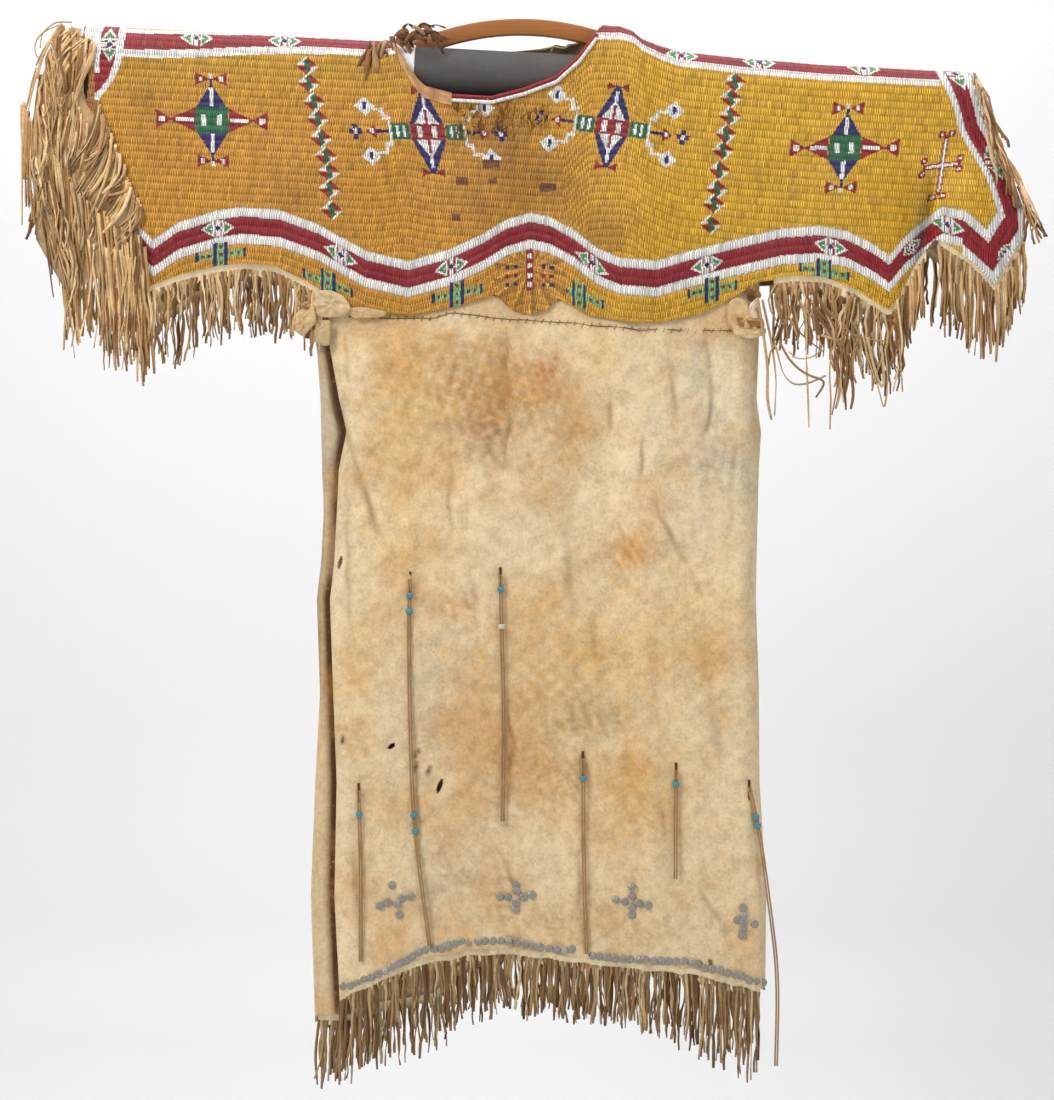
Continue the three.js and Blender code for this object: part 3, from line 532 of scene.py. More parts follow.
COLOUR, FLOAT, VECTOR = "NodeSocketColor", "NodeSocketFloat", "NodeSocketVector"


def bead_group():
    """Glass beads on strings: soft ridges along each string, and a slow drift of shade."""
    tree, given, out = new_group(
        "Bead strings",
        [("Colour", COLOUR, None), ("Position", VECTOR, None), ("Strings", FLOAT, 500.0)],
        [("Colour", COLOUR), ("Height", FLOAT), ("Roughness", FLOAT)],
    )
    axes = tree.node("ShaderNodeSeparateXYZ", {0: given["Position"]}).outputs
    wave = tree.math("MULTIPLY", axes["X"], given["Strings"])
    ridge = tree.math("ABSOLUTE", tree.math("SINE", wave))
    fine = tree.noise(given["Position"], 900.0, 2.0)
    slow = tree.noise(given["Position"], 14.0, 3.0)
    link_all(tree, {
        "Colour": tree.shaded(given["Colour"], tree.scaled(slow, 0.32, 0.82)),
        "Height": tree.math("ADD", ridge, tree.math("MULTIPLY", fine, 0.5)),
        "Roughness": tree.scaled(fine, 0.25, 0.28),
    }, out)
    return tree.tree


def hide_group():
    """Tanned hide: blotches, small dark flecks, fine grain and soft wrinkles."""
    tree, given, out = new_group(
        "Tanned hide",
        [("Colour", COLOUR, None), ("Blotch", COLOUR, (0.5, 0.3, 0.1, 1)),
         ("Position", VECTOR, None), ("Blotch amount", FLOAT, 0.5)],
        [("Colour", COLOUR), ("Height", FLOAT), ("Roughness", FLOAT)],
    )
    place = given["Position"]
    large = tree.noise(place, 9.0, 9.0, 0.66)
    middle = tree.noise(place, 55.0, 8.0, 0.72)
    small = tree.noise(place, 240.0, 5.0, 0.66)
    wrinkle = tree.noise(tree.stretched(place, (1.0, 1.0, 0.35)), 55.0, 6.0, 0.62)
    amount = tree.math("MULTIPLY", tree.ramp(large, 0.46, 0.62), given["Blotch amount"], clamp=True)
    blotched = tree.mix(amount, given["Colour"], given["Blotch"])
    shade = tree.math("MULTIPLY", tree.scaled(middle, 0.95, 0.5), tree.scaled(small, 0.75, 0.62))
    rough_spots = tree.math("ADD", small, tree.math("MULTIPLY", middle, 0.6))
    fleck = tree.math("MULTIPLY", tree.ramp(rough_spots, 0.92, 1.03), 0.7)
    link_all(tree, {
        "Colour": tree.mix(fleck, tree.shaded(blotched, shade), given["Blotch"]),
        "Height": tree.math("ADD", tree.math("MULTIPLY", small, 0.35), wrinkle),
        "Roughness": tree.scaled(middle, 0.2, 0.74),
    }, out)
    return tree.tree


def new_material(name):
    material = bpy.data.materials.new(name)
    material.use_nodes = True
    tree = Tree(material.node_tree)
    return material, tree, material.node_tree.nodes["Principled BSDF"]


def object_place(tree):
    return tree.node("ShaderNodeTexCoord").outputs["Object"]


def attribute(tree, name):
    return tree.node("ShaderNodeAttribute", attribute_name=name).outputs["Color"]


def surface(tree, shader, colour, roughness, height=None, strength=0.3, distance=0.001):
    tree.link(colour, shader.inputs["Base Color"])
    tree.fill(shader.inputs["Roughness"], roughness)
    if height is not None:
        values = {"Height": height, "Strength": strength, "Distance": distance}
        tree.link(tree.node("ShaderNodeBump", values).outputs[0], shader.inputs["Normal"])


def bead_material(groups):
    material, tree, shader = new_material("glass_beads")
    made = tree.node("ShaderNodeGroup", node_tree=groups["beads"])
    tree.link(attribute(tree, "bead_colour"), made.inputs["Colour"])
    tree.link(object_place(tree), made.inputs["Position"])
    made.inputs["Strings"].default_value = math.pi / (STRING * MM)
    surface(tree, shader, made.outputs["Colour"], made.outputs["Roughness"],
            made.outputs["Height"], 0.45, 0.0006)
    shader.inputs["Specular IOR Level"].default_value = 0.35
    return material


def hide_material(groups, name, blotch, amount, strength=0.5, distance=0.0018, colour=None):
    material, tree, shader = new_material(name)
    made = tree.node("ShaderNodeGroup", node_tree=groups["hide"])
    tree.fill(made.inputs["Colour"], rgba(colour) if colour else attribute(tree, "hide_colour"))
    made.inputs["Blotch"].default_value = rgba(blotch)
    made.inputs["Blotch amount"].default_value = amount
    tree.link(object_place(tree), made.inputs["Position"])
    surface(tree, shader, made.outputs["Colour"], made.outputs["Roughness"],
            made.outputs["Height"], strength, distance)
    shader.inputs["Specular IOR Level"].default_value = 0.25
    shader.inputs["Sheen Weight"].default_value = 0.15
    return material


def mottled_material(name, first, second, noise, roughness, cloud=None, bump=None, stretch=None):
    """Two colours mixed by a noise of the given scale and detail. cloud adds slow shade, by its
    scale, detail, strength and base, and bump a relief, by its strength and distance."""
    material, tree, shader = new_material(name)
    place = object_place(tree)
    grain = tree.noise(tree.stretched(place, stretch) if stretch else place, *noise)
    colour = tree.mix(grain, first, second)
    if cloud:
        scale, detail, by, plus = cloud
        colour = tree.shaded(colour, tree.scaled(tree.noise(place, scale, detail), by, plus))
    surface(tree, shader, colour, roughness, grain if bump else None, *(bump or ()))
    return material


def glass_material(name, colour):
    dark = (*(0.7 * v for v in to_linear(colour)), 1)
    material = mottled_material(name, rgba(colour), dark, (350.0, 2.0), 0.22)
    material.node_tree.nodes["Principled BSDF"].inputs["Coat Weight"].default_value = 0.5
    return material


def tin_material():
    material, tree, shader = new_material("dull_tin")
    place = object_place(tree)
    dirt = tree.noise(place, 420.0, 4.0)
    slow = tree.noise(place, 60.0, 3.0)
    colour = tree.mix(dirt, rgba((196, 190, 180)), rgba((118, 110, 98)))
    surface(tree, shader, colour, tree.scaled(slow, 0.4, 0.3), dirt, 0.3, 0.0004)
    shader.inputs["Metallic"].default_value = 0.6
    return material


def floor_material():
    material = mottled_material("pale_floor", (0.91, 0.91, 0.92, 1), (0.88, 0.88, 0.89, 1),
                                (1.5, 2.0), 0.9)
    # The wall can be looked through from behind, so that the dress's back shows
    tree = Tree(material.node_tree)
    nodes = material.node_tree.nodes
    behind = tree.node("ShaderNodeNewGeometry").outputs["Backfacing"]
    clear = tree.node("ShaderNodeBsdfTransparent").outputs[0]
    solid = nodes["Principled BSDF"].outputs[0]
    either = tree.node("ShaderNodeMixShader", {0: behind, 1: solid, 2: clear}).outputs[0]
    tree.link(either, nodes["Material Output"].inputs["Surface"])
    return material


MATERIALS = {}


def make_materials():
    groups = {"beads": bead_group(), "hide": hide_group()}
    MATERIALS.update(
        beads=bead_material(groups),
        hide=hide_material(groups, "cream_hide", (214, 156, 84), 0.5, 0.7, 0.0022),
        lining=hide_material(groups, "hide_lining", (150, 110, 70), 0.4, colour=(198, 172, 130)),
        fringe=hide_material(groups, "fringe_hide", (132, 92, 52), 0.3, 0.3, 0.0008),
        raw=hide_material(groups, "raw_brown_hide", (92, 56, 30), 0.6, 0.8, 0.0025),
        wood=mottled_material(
            "bent_wood", rgba((170, 108, 50)), rgba((138, 80, 34)), (6.0, 5.0), 0.42,
            (22.0, 3.0, 0.3, 0.85), (0.12, 0.0004), (3.0, 60.0, 60.0),
        ),
        foam=mottled_material(
            "grey_foam", rgba((56, 53, 52)), rgba((100, 95, 92)), (700.0, 3.0), 0.8,
            (26.0, 4.0, 0.5, 0.7), (0.35, 0.0006),
        ),
        tape=mottled_material(
            "white_wrap", rgba((244, 244, 242)), rgba((205, 206, 206)), (160.0, 5.0), 0.6,
            bump=(0.5, 0.001),
        ),
        turquoise=glass_material("turquoise_glass", (70, 158, 178)),
        white=glass_material("white_glass", (226, 222, 212)),
        tin=tin_material(),
        floor=floor_material(),
    )


# Beaded yoke


class Chart:
    """Bead colours on a set of places, charted in pixels of the photograph."""

    def __init__(self, x, y, colour, lane):
        self.x, self.y, self.colour, self.lane = x, y, colour, lane

    def at(self, cx, cy, lean=0.0, rise=0.0, size=1.0):
        """The same chart seen from a motif's centre. lean shifts it sideways for each pixel down,
        and rise lifts it for each pixel across."""
        dx, dy = self.x - cx, self.y - cy
        return Chart((dx - lean * dy) / size, (dy - rise * dx) / size, self.colour, self.lane)

    def fill(self, mask, colour):
        self.colour[mask] = to_linear(colour)

    def box(self, colour, x0, y0, x1, y1):
        """A box between two opposite corners."""
        (x0, x1), (y0, y1) = sorted((x0, x1)), sorted((y0, y1))
        self.fill((self.x >= x0) & (self.x < x1) & (self.y >= y0) & (self.y < y1), colour)

    def polygon(self, colour, *corners):
        """A convex outline, its corners in order round it."""
        mask = np.ones(self.x.shape, bool)
        other = np.ones(self.x.shape, bool)
        for (ax, ay), (bx, by) in zip(corners, corners[1:] + corners[:1]):
            side = (bx - ax) * (self.y - ay) - (by - ay) * (self.x - ax)
            mask &= side >= 0
            other &= side <= 0
        self.fill(mask | other, colour)

    def diamond(self, colour, cx, cy, rx, ry):
        self.fill(np.abs(self.x - cx) / rx + np.abs(self.y - cy) / ry < 1, colour)


def paint_star(chart):
    """Green box with two lights, red arms, blue points and small forked ends."""
    for sign in (-1, 1):
        chart.polygon(BEAD_RED, (17 * sign, -12), (17 * sign, 12), (43 * sign, 0))
        chart.box(BEAD_WHITE, 18 * sign, -2, 36 * sign, 2)
        chart.polygon(BEAD_RED, (40 * sign, 0), (56 * sign, -10), (56 * sign, 10))
        chart.box(BEAD_WHITE, 47 * sign, -3, 53 * sign, 3)
        chart.polygon(BEAD_BLUE, (-15, 13 * sign), (15, 13 * sign), (0, 37 * sign))
        chart.box(BEAD_WHITE, -2, 14 * sign, 2, 32 * sign)
        chart.box(BEAD_BLUE, -1.6, 36 * sign, 1.6, 41 * sign)
        chart.box(BEAD_WHITE, -1.8, 41 * sign, 1.8, 46 * sign)
        for side in (-1, 1):
            y = 41 * sign
            chart.polygon(BEAD_RED, (side, y), (16 * side, y - 7), (16 * side, y + 7))
            chart.box(BEAD_WHITE, 8 * side, y - 2.4, 12 * side, y + 2.4)
    chart.box(BEAD_GREEN, -16.5, -13, 16.5, 13)
    for x in (-8, 7):
        chart.box(BEAD_WHITE, x - 2.5, -5.5, x + 2.5, 5.5)


def paint_bow(chart):
    """One of a column of small bow ties."""
    chart.polygon(BEAD_WHITE, (-9.5, -1), (0, -9), (0, -1))
    chart.polygon(BEAD_RED, (-9.5, 0), (0, 0), (0, 8))
    chart.polygon(BEAD_RED, (9.5, 0), (0, 0), (0, -8))
    chart.polygon(BEAD_WHITE, (9.5, 1), (0, 9), (0, 1))
    chart.polygon(BEAD_GREEN, (-3, -4), (0, -7), (3.4, 4), (0, 7))


def paint_centre(chart):
    """Blue lozenge round a red bar, with barred arms, stepped lines and four eyes."""
    for sign in (-1, 1):
        chart.polygon(BEAD_BLUE, (-17, 8 * sign), (17, 8 * sign), (2, 42 * sign), (-2, 42 * sign))
        chart.polygon(BEAD_WHITE, (-12, 8 * sign), (12, 8 * sign), (0, 27 * sign))
        chart.box(BEAD_RED, -1.4, 8 * sign, 1.4, 22 * sign)
        chart.box(BEAD_WHITE, -1.6, 24 * sign, 1.6, 36 * sign)
        for side in (-1, 1):
            y = 41 * sign
            chart.polygon(BEAD_RED, (2 * side, y), (11 * side, y - 5 * sign), (11 * side, y + 4 * sign))
    chart.box(BEAD_RED, -17, -8, 17, 8)
    for x in (-8, 6.5):
        chart.box(BEAD_WHITE, x - 2.6, -5.5, x + 2.6, 5.5)
    for side in (-1, 1):

        def box(colour, x0, y0, x1, y1):
            chart.box(colour, x0 * side, y0, x1 * side, y1)

        box(BEAD_GREEN, 18, -8, 36, 8)
        for x in (22, 28.5):
            box(BEAD_WHITE, x, -5.5, x + 3, 5.5)
        box(BEAD_WHITE, 36, -11, 38.6, 11)
        box(BEAD_BLUE, 39, -1.6, 52, 1.6)
        chart.polygon(BEAD_RED, (52 * side, -6.5), (52 * side, 7.5), (62 * side, 0.5))
        box(BEAD_WHITE, 54, -2.2, 57.6, 2.4)
        box(BEAD_BLUE, 66, -2.4, 79, 3)
        box(BEAD_BLUE, 70, -7, 75, 8)
        box(BEAD_WHITE, 70.6, -2.4, 74.4, 3)
        for sign in (-1, 1):
            y = 11 * sign
            box(BEAD_WHITE, 36, min(y, y + 5 * sign), 43, max(y, y + 5 * sign) - 1)
            box(BEAD_WHITE, 41.5, y, 44.5, y + 12 * sign)
            box(BEAD_WHITE, 43, y + 10.5 * sign - 1.5, 53, y + 10.5 * sign + 1.5)
            chart.diamond(BEAD_WHITE, 60 * side, y + 14 * sign, 10, 9.5)
            box(BEAD_BLUE, 58.2, y + 14 * sign - 4, 61.6, y + 14 * sign + 4)


def paint_small_cross(chart):
    """Thin white cross outlined in red, forked at its ends."""
    chart.box(BEAD_RED, -2.8, -32, 2.8, 32)
    chart.box(BEAD_RED, -19, -2.8, 19, 3.2)
    chart.box(BEAD_WHITE, -1.3, -28, 1.3, 28)
    chart.box(BEAD_WHITE, -16, -1.3, 16, 1.5)
    for x, y in [(-19, -7), (-19, 7), (18, -6), (18, 6), (-5, -33), (5, -33), (-5, 33), (5, 33)]:
        chart.box(BEAD_RED, x - 3.4, y - 3.4, x + 3.4, y + 3.4)
        chart.box(BEAD_WHITE, x - 1.6, y - 1.6, x + 1.6, y + 1.6)


ARROW_GREEN = (78, 150, 84)


def paint_arrows(chart):
    """Two green arrowheads outlined white, back to back on a red band."""
    for side in (-1, 1):
        chart.polygon(BEAD_WHITE, (4 * side, -9), (4 * side, 9), (18 * side, 0))
        chart.polygon(ARROW_GREEN, (6 * side, -5.6), (6 * side, 5.6), (14 * side, 0))
        chart.polygon(BEAD_WHITE, (4 * side, -2), (4 * side, 2), (8.5 * side, 0))
    chart.box(BEAD_WHITE, -2.2, -9, 2.2, 9)
    chart.box(BEAD_WHITE, -5, -1.6, 5, 1.6)
    chart.diamond(BEAD_BLUE, 0, 0, 3.4, 3.4)


def paint_bars(chart):
    """Barred cross on the ochre strip below the band."""
    chart.box(BEAD_LIGHT_GREEN, -23, -3.6, 23, 3.6)
    for x in (-18, -11.5, 11.5, 18):
        chart.box(BEAD_RED, x - 1.6, -1.7, x + 1.6, 1.7)
    chart.box(BEAD_LIGHT_GREEN, -4, -12, 4, 12)
    for x in (-25, 22.5):
        chart.box(BEAD_BLUE, x, -4.6, x + 2.6, 4.6)
    for x in (-7.2, 4):
        chart.box(BEAD_BLUE, x, -12.5, x + 3.2, 12.5)
    for y in (-8, 0, 8):
        chart.box(BEAD_RED, -1.8, y - 1.8, 1.8, y + 1.8)


STARS = [(212, 120, 0.03, 0.03, 1.0), (844.5, 148, -0.1, 0.0, 0.97)]
CENTRES = [(428, 132, 0.146, 0.02, 1.0), (612, 127, -0.165, 0.14, 1.0)]
BOW_COLUMNS = [
    [(307, 66), (309, 83), (314, 102), (317.6, 119), (321, 138), (326, 156), (329, 172),
     (329.6, 189), (331.6, 210)],
    [(735, 82), (731, 98), (730, 116), (726, 134), (723, 150.5), (719.5, 170), (717, 189),
     (714, 204), (710.6, 224.5)],
]
# centre and rise of the arrowheads, on the wave, the sleeve and the shoulders
ARROWS = [
    (218, 228.5, -0.08), (340.6, 255, 0.5), (451.5, 267, -0.28), (592, 263.5, 0.7), (707, 265, -0.25),
    (830.5, 247, 0.22), (912, 247, -1.0), (945, 227, 0.35), (1002.7, 253, -1.1), (682, 54, 0.08),
    (760, 60.5, 0.08), (865, 66, 0.08), (196, 37, 0.05), (284, 39.5, 0.05),
]
BARS = [
    (220.7, 255, -0.12), (328, 283, 0.4), (457, 294, -0.2), (579, 295, 0.4), (712, 289.5, -0.2),
    (824, 272, 0.2),
]


# x, y, radius across and down in pixels, strength of the brown stains on the beads
BEAD_STAINS = [
    (502, 128, 40, 34, 0.65), (520, 176, 44, 30, 0.5), (608, 232, 24, 20, 0.5), (470, 205, 40, 22, 0.4),
    (560, 190, 30, 30, 0.35), (150, 110, 22, 60, 0.25), (300, 200, 50, 40, 0.2), (400, 60, 40, 14, 0.3),
]


def line_length(points):
    return sum(math.dist(a, b) for a, b in zip(points[:-1], points[1:]))


def line_place(x, y, points):
    """Distance from places to a bent line, and the share along it, 0 at one end and 1 at the other."""
    best = np.full(x.shape, 1e9)
    place = np.zeros(x.shape)
    total = line_length(points)
    done = 0.0
    for (ax, ay), (bx, by) in zip(points[:-1], points[1:]):
        run = math.dist((ax, ay), (bx, by))
        share = np.clip(((x - ax) * (bx - ax) + (y - ay) * (by - ay)) / run**2, 0, 1)
        away = np.hypot(x - ax - share * (bx - ax), y - ay - share * (by - ay))
        place = np.where(away < best, (done + share * run) / total, place)
        best = np.minimum(best, away)
        done += run
    return best, place


def lane_field(px, py, length):
    """Lane number at each place: its own range above the wave, on it, below it and on the sleeve."""
    depth = py - along(WAVE, px)
    across = np.where(
        depth < WAVE_WHITE,
        depth / WAVE_WHITE,
        np.where(
            depth < WAVE_DEPTH - WAVE_WHITE,
            1 + 2 * (depth - WAVE_WHITE) / (WAVE_DEPTH - 2 * WAVE_WHITE),
            3 + (depth - WAVE_DEPTH + WAVE_WHITE) / WAVE_WHITE,
        ),
    )
    before_sleeve = px < 989
    lane = length / LANE
    lane = np.where((depth >= 0) & (depth < WAVE_DEPTH) & before_sleeve, 1000 + across, lane)
    below = (depth >= WAVE_DEPTH) & before_sleeve
    lane = np.where(below, 2000 + (depth - WAVE_DEPTH) * PIXEL / LANE, lane)
    side = line_place(px, py, SLEEVE_SIDE)[0] * (1.07 + 0.33 * ease(68, 118, py))
    low = line_place(px, py, SLEEVE_LOW)[0]
    edge = np.minimum(side, low)
    in_sleeve = (edge < WAVE_DEPTH) & (px > 936) & ((px > 960) | (low >= side))
    return np.where(in_sleeve, 3000 + 4 * (1 - edge / WAVE_DEPTH), lane)


def bead_colours(px, py, length, front=True):
    """The bead colour at places given by photograph pixels and by length from the ridge."""
    share = ease(470, 720, px)[:, None]
    high = (1 - ease(60, 120, py))[:, None] * (1 - share)
    colour = to_linear(OCHRE_LEFT) * (1 - share) + to_linear(OCHRE_RIGHT) * share
    colour = colour * (1 - 0.7 * high) + to_linear(OCHRE_TOP) * 0.7 * high
    for cx, cy, rx, ry, amount in BEAD_STAINS:
        wobble = np.maximum(1 + 0.3 * ripple(px, py, int(cx), 30), 0.2)
        colour = blend(colour, STAIN_BROWN, spot(px, py, cx, cy, rx, ry, wobble) * amount)
    lane = lane_field(px, py, length)
    chart = Chart(px, py, colour, lane)

    band_end = 36 + 18 * ease(330, 127, px)
    top_band = (length < band_end + 11) & (px < 940)
    if front:
        chart.fill(top_band & (length > band_end - 37), BEAD_WHITE)
        chart.fill(top_band & (length < band_end) & (length > band_end - 26), BEAD_RED)
    else:
        chart.fill(length < 12, BEAD_WHITE)
    for low in (1000, 3000):
        chart.fill((lane >= low) & (lane < low + 4), BEAD_WHITE)
        chart.fill((lane >= low + 1) & (lane < low + 3), BEAD_RED)
    if front:
        inner = np.interp(py, [24, 44, 63, 80, 99], [125, 124, 121, 114, 99])
        chart.fill((px < inner) & (py < 100), BEAD_WHITE)
        chart.fill((px < inner - 7) & (py < 93), BEAD_RED)
        chart.fill((px < 101.5 - 0.05 * (py - 24)) & (py < 73), BEAD_WHITE)
        paint_arrows(Chart(py - 44, px - 109.5, chart.colour, lane))
        chart.fill((px < 95 - 0.03 * np.abs(py - 74)) & (py > 66) & (py < 108), RAW_HIDE)
        chart.fill((px < 92) & (py > 40) & (py < 70), RAW_HIDE)
        chart.fill((px < 89 - 0.004 * (py - 74) ** 2) & (py > 42) & (py < 106), DEEP_SHADOW)
    for cx, cy, lean, rise, size in STARS:
        paint_star(chart.at(cx, cy, lean, rise, size))
    for cx, cy, lean, rise, size in CENTRES:
        paint_centre(chart.at(cx, cy, lean, rise, size))
    for column in BOW_COLUMNS:
        for cx, cy in column:
            paint_bow(chart.at(cx, cy, size=1.16))
    paint_small_cross(chart.at(941.5, 166, -0.18, -0.12, 0.95))
    for cx, cy, rise in ARROWS:
        if front or cy > 80:
            paint_arrows(chart.at(cx, cy, -rise if abs(rise) > 0.9 else 0.0, rise, 0.95))
    for cx, cy in SLEEVE_ARROWS:
        paint_arrows(Chart(py - cy, cx + (py - cy) * 0.45 - px, chart.colour, lane))
    for cx, cy, rise in BARS:
        paint_bars(chart.at(cx, cy, 0.0, rise))
    paint_fan(chart)
    if front:
        for x0, y0, x1, y1 in BARE_PATCHES:
            chart.box(BARE_BROWN, x0, y0, x1, y1)
    return colour, lane


SLEEVE_ARROWS = [(994, 163), (957, 72)]
# Places where the beads are lost, as boxes in pixels
BARE_PATCHES = [
    (483, 160, 500, 168), (456, 177, 468, 186), (540, 183, 557, 191), (489, 178, 497, 184),
    (452, 214, 461, 222), (528, 112, 531, 124), (142, 38, 146, 45), (160, 39, 163, 46),
    (172, 38, 175, 44),
]


def paint_fan(chart):
    """Round fan below the band's middle: rays, rows of squares and a barred stem."""
    x, y = chart.x - 530.6, chart.y - 268
    radius = np.hypot(x, y)
    below = (chart.lane >= 2000) & (chart.lane < 3000) & (radius < 47) & (np.abs(x) < 36)
    ray = np.floor(np.arctan2(x, y) * 15)
    shade = 0.6 + 0.75 * ((ray * 7919) % 13) / 13
    chart.colour[below] = to_linear((206, 146, 56)) * shade[below][:, None]
    for row, colour in [(-3, BEAD_BLUE), (6, BEAD_RED), (15, BEAD_BLUE)]:
        for column in (-23, -15, 13, 21):
            here = (np.abs(x - column) < 2) & (np.abs(y - row - abs(column) * 0.1) < 2)
            chart.colour[below & here] = to_linear(colour)
    stem = (chart.lane >= 2000) & (np.abs(x + 1) < 4) & (y < 22)
    chart.fill(stem, BEAD_RED)
    for row in (-12, -3, 7, 16):
        chart.fill(stem & (np.abs(x + 1) < 2.2) & (np.abs(y - row) < 2.4), BEAD_WHITE)


def yoke_surface(columns, rows, side):
    """Points of one half of the yoke at the given x and lengths from the ridge, in millimetres,
    with the length at each point. A row past the top or the lower edge stays on that edge.
    side is -1 in front."""
    top, low = (front_top, front_low) if side < 0 else (back_top, back_low)
    points = np.zeros((len(rows), len(columns), 3))
    lengths = np.zeros((len(rows), len(columns)))
    angles = np.linspace(math.pi / 2, 0, 60)
    for i, x in enumerate(columns):
        lift = float(along(RIDGE_LIFT, x))
        if side > 0:
            lift += 14 * float(bump(x + 20, 95))
        width = float(cloth_width(x))
        height = width + lift
        power = 2 + 2 * min(lift / 20, 1)
        axis = float(rod_axis(x))
        y = width * np.cos(angles) ** (2 / power)
        z = axis + height * np.sin(angles) ** (2 / power)
        y[0] = 0.0
        y = np.append(y, width)
        z = np.append(z, axis - 600)
        run = np.concatenate([[0], np.cumsum(np.hypot(np.diff(y), np.diff(z)))])
        s_top = np.interp(-top(x), -z, run)
        s_low = np.interp(-low(x), -z, run)
        s = np.clip(rows, s_top, s_low)
        points[:, i, 0] = x
        points[:, i, 1] = np.interp(s, run, y)
        points[:, i, 2] = np.interp(s, run, z)
        lengths[:, i] = s
    if side < 0:
        points[:, :, 1] += yoke_swell(points[:, :, 0], points[:, :, 2])
    points[:, :, 1] = side * (points[:, :, 1] + SEAM_HALF_GAP)
    return points, lengths


def ridge_height(x):
    return rod_axis(x) + cloth_width(x) + along(RIDGE_LIFT, x)


def front_top(x):
    if x > RIGHT_CUFF[0][0]:
        return along(RIGHT_CUFF, x)
    if NECK_FRONT[0][0] < x < NECK_FRONT[-1][0]:
        return along(NECK_FRONT, x)
    return ridge_height(x)


def back_top(x):
    if x > RIGHT_CUFF[0][0]:
        return along(RIGHT_CUFF, x)
    if x < LEFT_CUFF_BACK[-1][0]:
        return along(LEFT_CUFF_BACK, x)
    if NECK_BACK[0][0] < x < NECK_BACK[-1][0]:
        return along(NECK_BACK, x)
    return ridge_height(x)


def front_low(x):
    return along(YOKE_FRONT_EDGE, x)


def back_low(x):
    return along(YOKE_BACK_EDGE, x)


def photo_pixel(points):
    return HANG_X + points[..., 0] / PIXEL, HANG_Y - points[..., 2] / PIXEL


def lane_height(lane):
    """Rounded section of a lane, from 0 at its edges to 1."""
    share = lane - np.floor(lane)
    return np.clip(1 - np.abs(2 * share - 1) ** 2.6, 0, 1)


def string_shade(lane, x, px, py, seed):
    """How light each bead string is: uneven strings, painted shade on every other string for the gaps and
    a painted highlight on the strings between them, and painted shadow between the lanes.
    """
    rng = np.random.RandomState(seed)
    share = lane - np.floor(lane)
    string = np.floor((x + SLANT * share * LANE) / STRING).astype(int) + 600
    lane_number = np.floor(lane).astype(int) % 97
    shade = rng.normal(1, 0.15, (97, 1200))[lane_number, string % 1200]
    gap_shade = (string + 3 * lane_number) % 2 == 0
    worn = ripple(px, py, seed + 5, 26)
    # Where the strings sit loose, the painted shade in the grooves and gaps is deeper.
    loose = np.clip((worn - 0.9) / 0.8, 0, 1)
    # Painted shadow in the grooves between the lanes; below, painted shade for the gaps and a painted
    # highlight on the other strings.
    groove = 1 - (0.3 + 0.25 * loose) * np.clip((np.abs(2 * share - 1) - 0.6) / 0.4, 0, 1)
    shade = np.clip(shade, 0.6, 1.35) * groove * np.where(gap_shade, 0.6 - 0.15 * loose, 1.13)
    return shade * (1 + 0.05 * worn)


def fold_shadow(px, py):
    """Shadow on the right sleeve beside the flap, where the beads turn in under it."""
    line = np.interp(py, [150, 180, 215, 245, 300], [936, 932, 927, 921, 921])
    away = line - px
    dark = np.where(away > 0, np.exp(-((away / 11) ** 2)), np.exp(-((away / 2.5) ** 2)))
    return 1 - 0.62 * dark * ease(140, 220, py)


def bead_surface(name, columns, row_step, side, seed):
    """The beads of one stretch of the yoke, as humped lanes with a face for each string."""
    rows = np.arange(0, BEADED_LENGTH, row_step)
    points, lengths = yoke_surface(columns, rows, side)
    points[:, :, 1] += side * 0.3 * ripple(points[:, :, 0], points[:, :, 2], seed, 70)
    normals = grid_normals(points)
    px, py = photo_pixel(points)
    hump = lane_height(lane_field(px.ravel(), py.ravel(), lengths.ravel())).reshape(px.shape)
    at_edge = np.zeros(px.shape, bool)
    at_edge[:-1] |= lengths[:-1] == lengths[1:]
    at_edge[1:] |= lengths[:-1] == lengths[1:]
    at_edge[:, 0] = at_edge[:, -1] = True
    hump[at_edge] = 0.2
    uneven = 0.25 * ripple(points[:, :, 0], points[:, :, 2], seed + 1, 12)
    points += normals * ((hump - 0.75 + uneven * hump) * LANE_RELIEF)[:, :, None]

    faces = grid_faces(len(rows), len(columns))
    flat = points.reshape(-1, 3)
    corner = flat[faces]
    area = np.linalg.norm(np.cross(corner[:, 2] - corner[:, 0], corner[:, 3] - corner[:, 1]), axis=1)
    faces = faces[area > 0.12]
    middle = flat[faces].mean(axis=1)
    px, py = photo_pixel(middle)
    length = lengths.ravel()[faces].mean(axis=1)
    colour, lane = bead_colours(px, py, length, front=side < 0)
    shade = string_shade(lane, middle[:, 0], px, py, seed)
    if side < 0:
        shade = shade * fold_shadow(px, py)
    made = add_object(name, flat, faces, "beads")
    paint_faces(made, "bead_colour", colour * shade[:, None])
    return made


def remove_loose(made):
    """Deletes the points that no face uses."""
    net = bmesh.new()
    net.from_mesh(made.data)
    loose = [v for v in net.verts if not v.link_faces]
    bmesh.ops.delete(net, geom=loose, context="VERTS")
    net.to_mesh(made.data)
    net.free()


def spaced(start, end, step):
    return np.linspace(start, end, max(2, int(round(abs(end - start) / step)) + 1))


def lining(name, start, end, side, node):
    """The hide under the beads: a closed thin sheet, which stands for the CAD half."""
    columns = spaced(start, end, 6)
    if side > 0:
        columns = columns[::-1]
    shares = np.concatenate([np.linspace(0, 0.3, 9), np.linspace(0.3, 1, 18)[1:]])
    grid = np.zeros((len(shares), len(columns), 3))
    for i, x in enumerate(columns):
        lengths = yoke_surface([x], np.array([0.0, LONGEST]), side)[1]
        rows = lengths[0, 0] + shares * (lengths[1, 0] - lengths[0, 0])
        grid[:, i] = yoke_surface([x], rows, side)[0][:, 0]
    grid = grid - grid_normals(grid) * LINING_DROP
    points, faces = shell(grid, LINING_THICKNESS)
    made = add_object(name, points, faces, "lining")
    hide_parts(node)
    return made


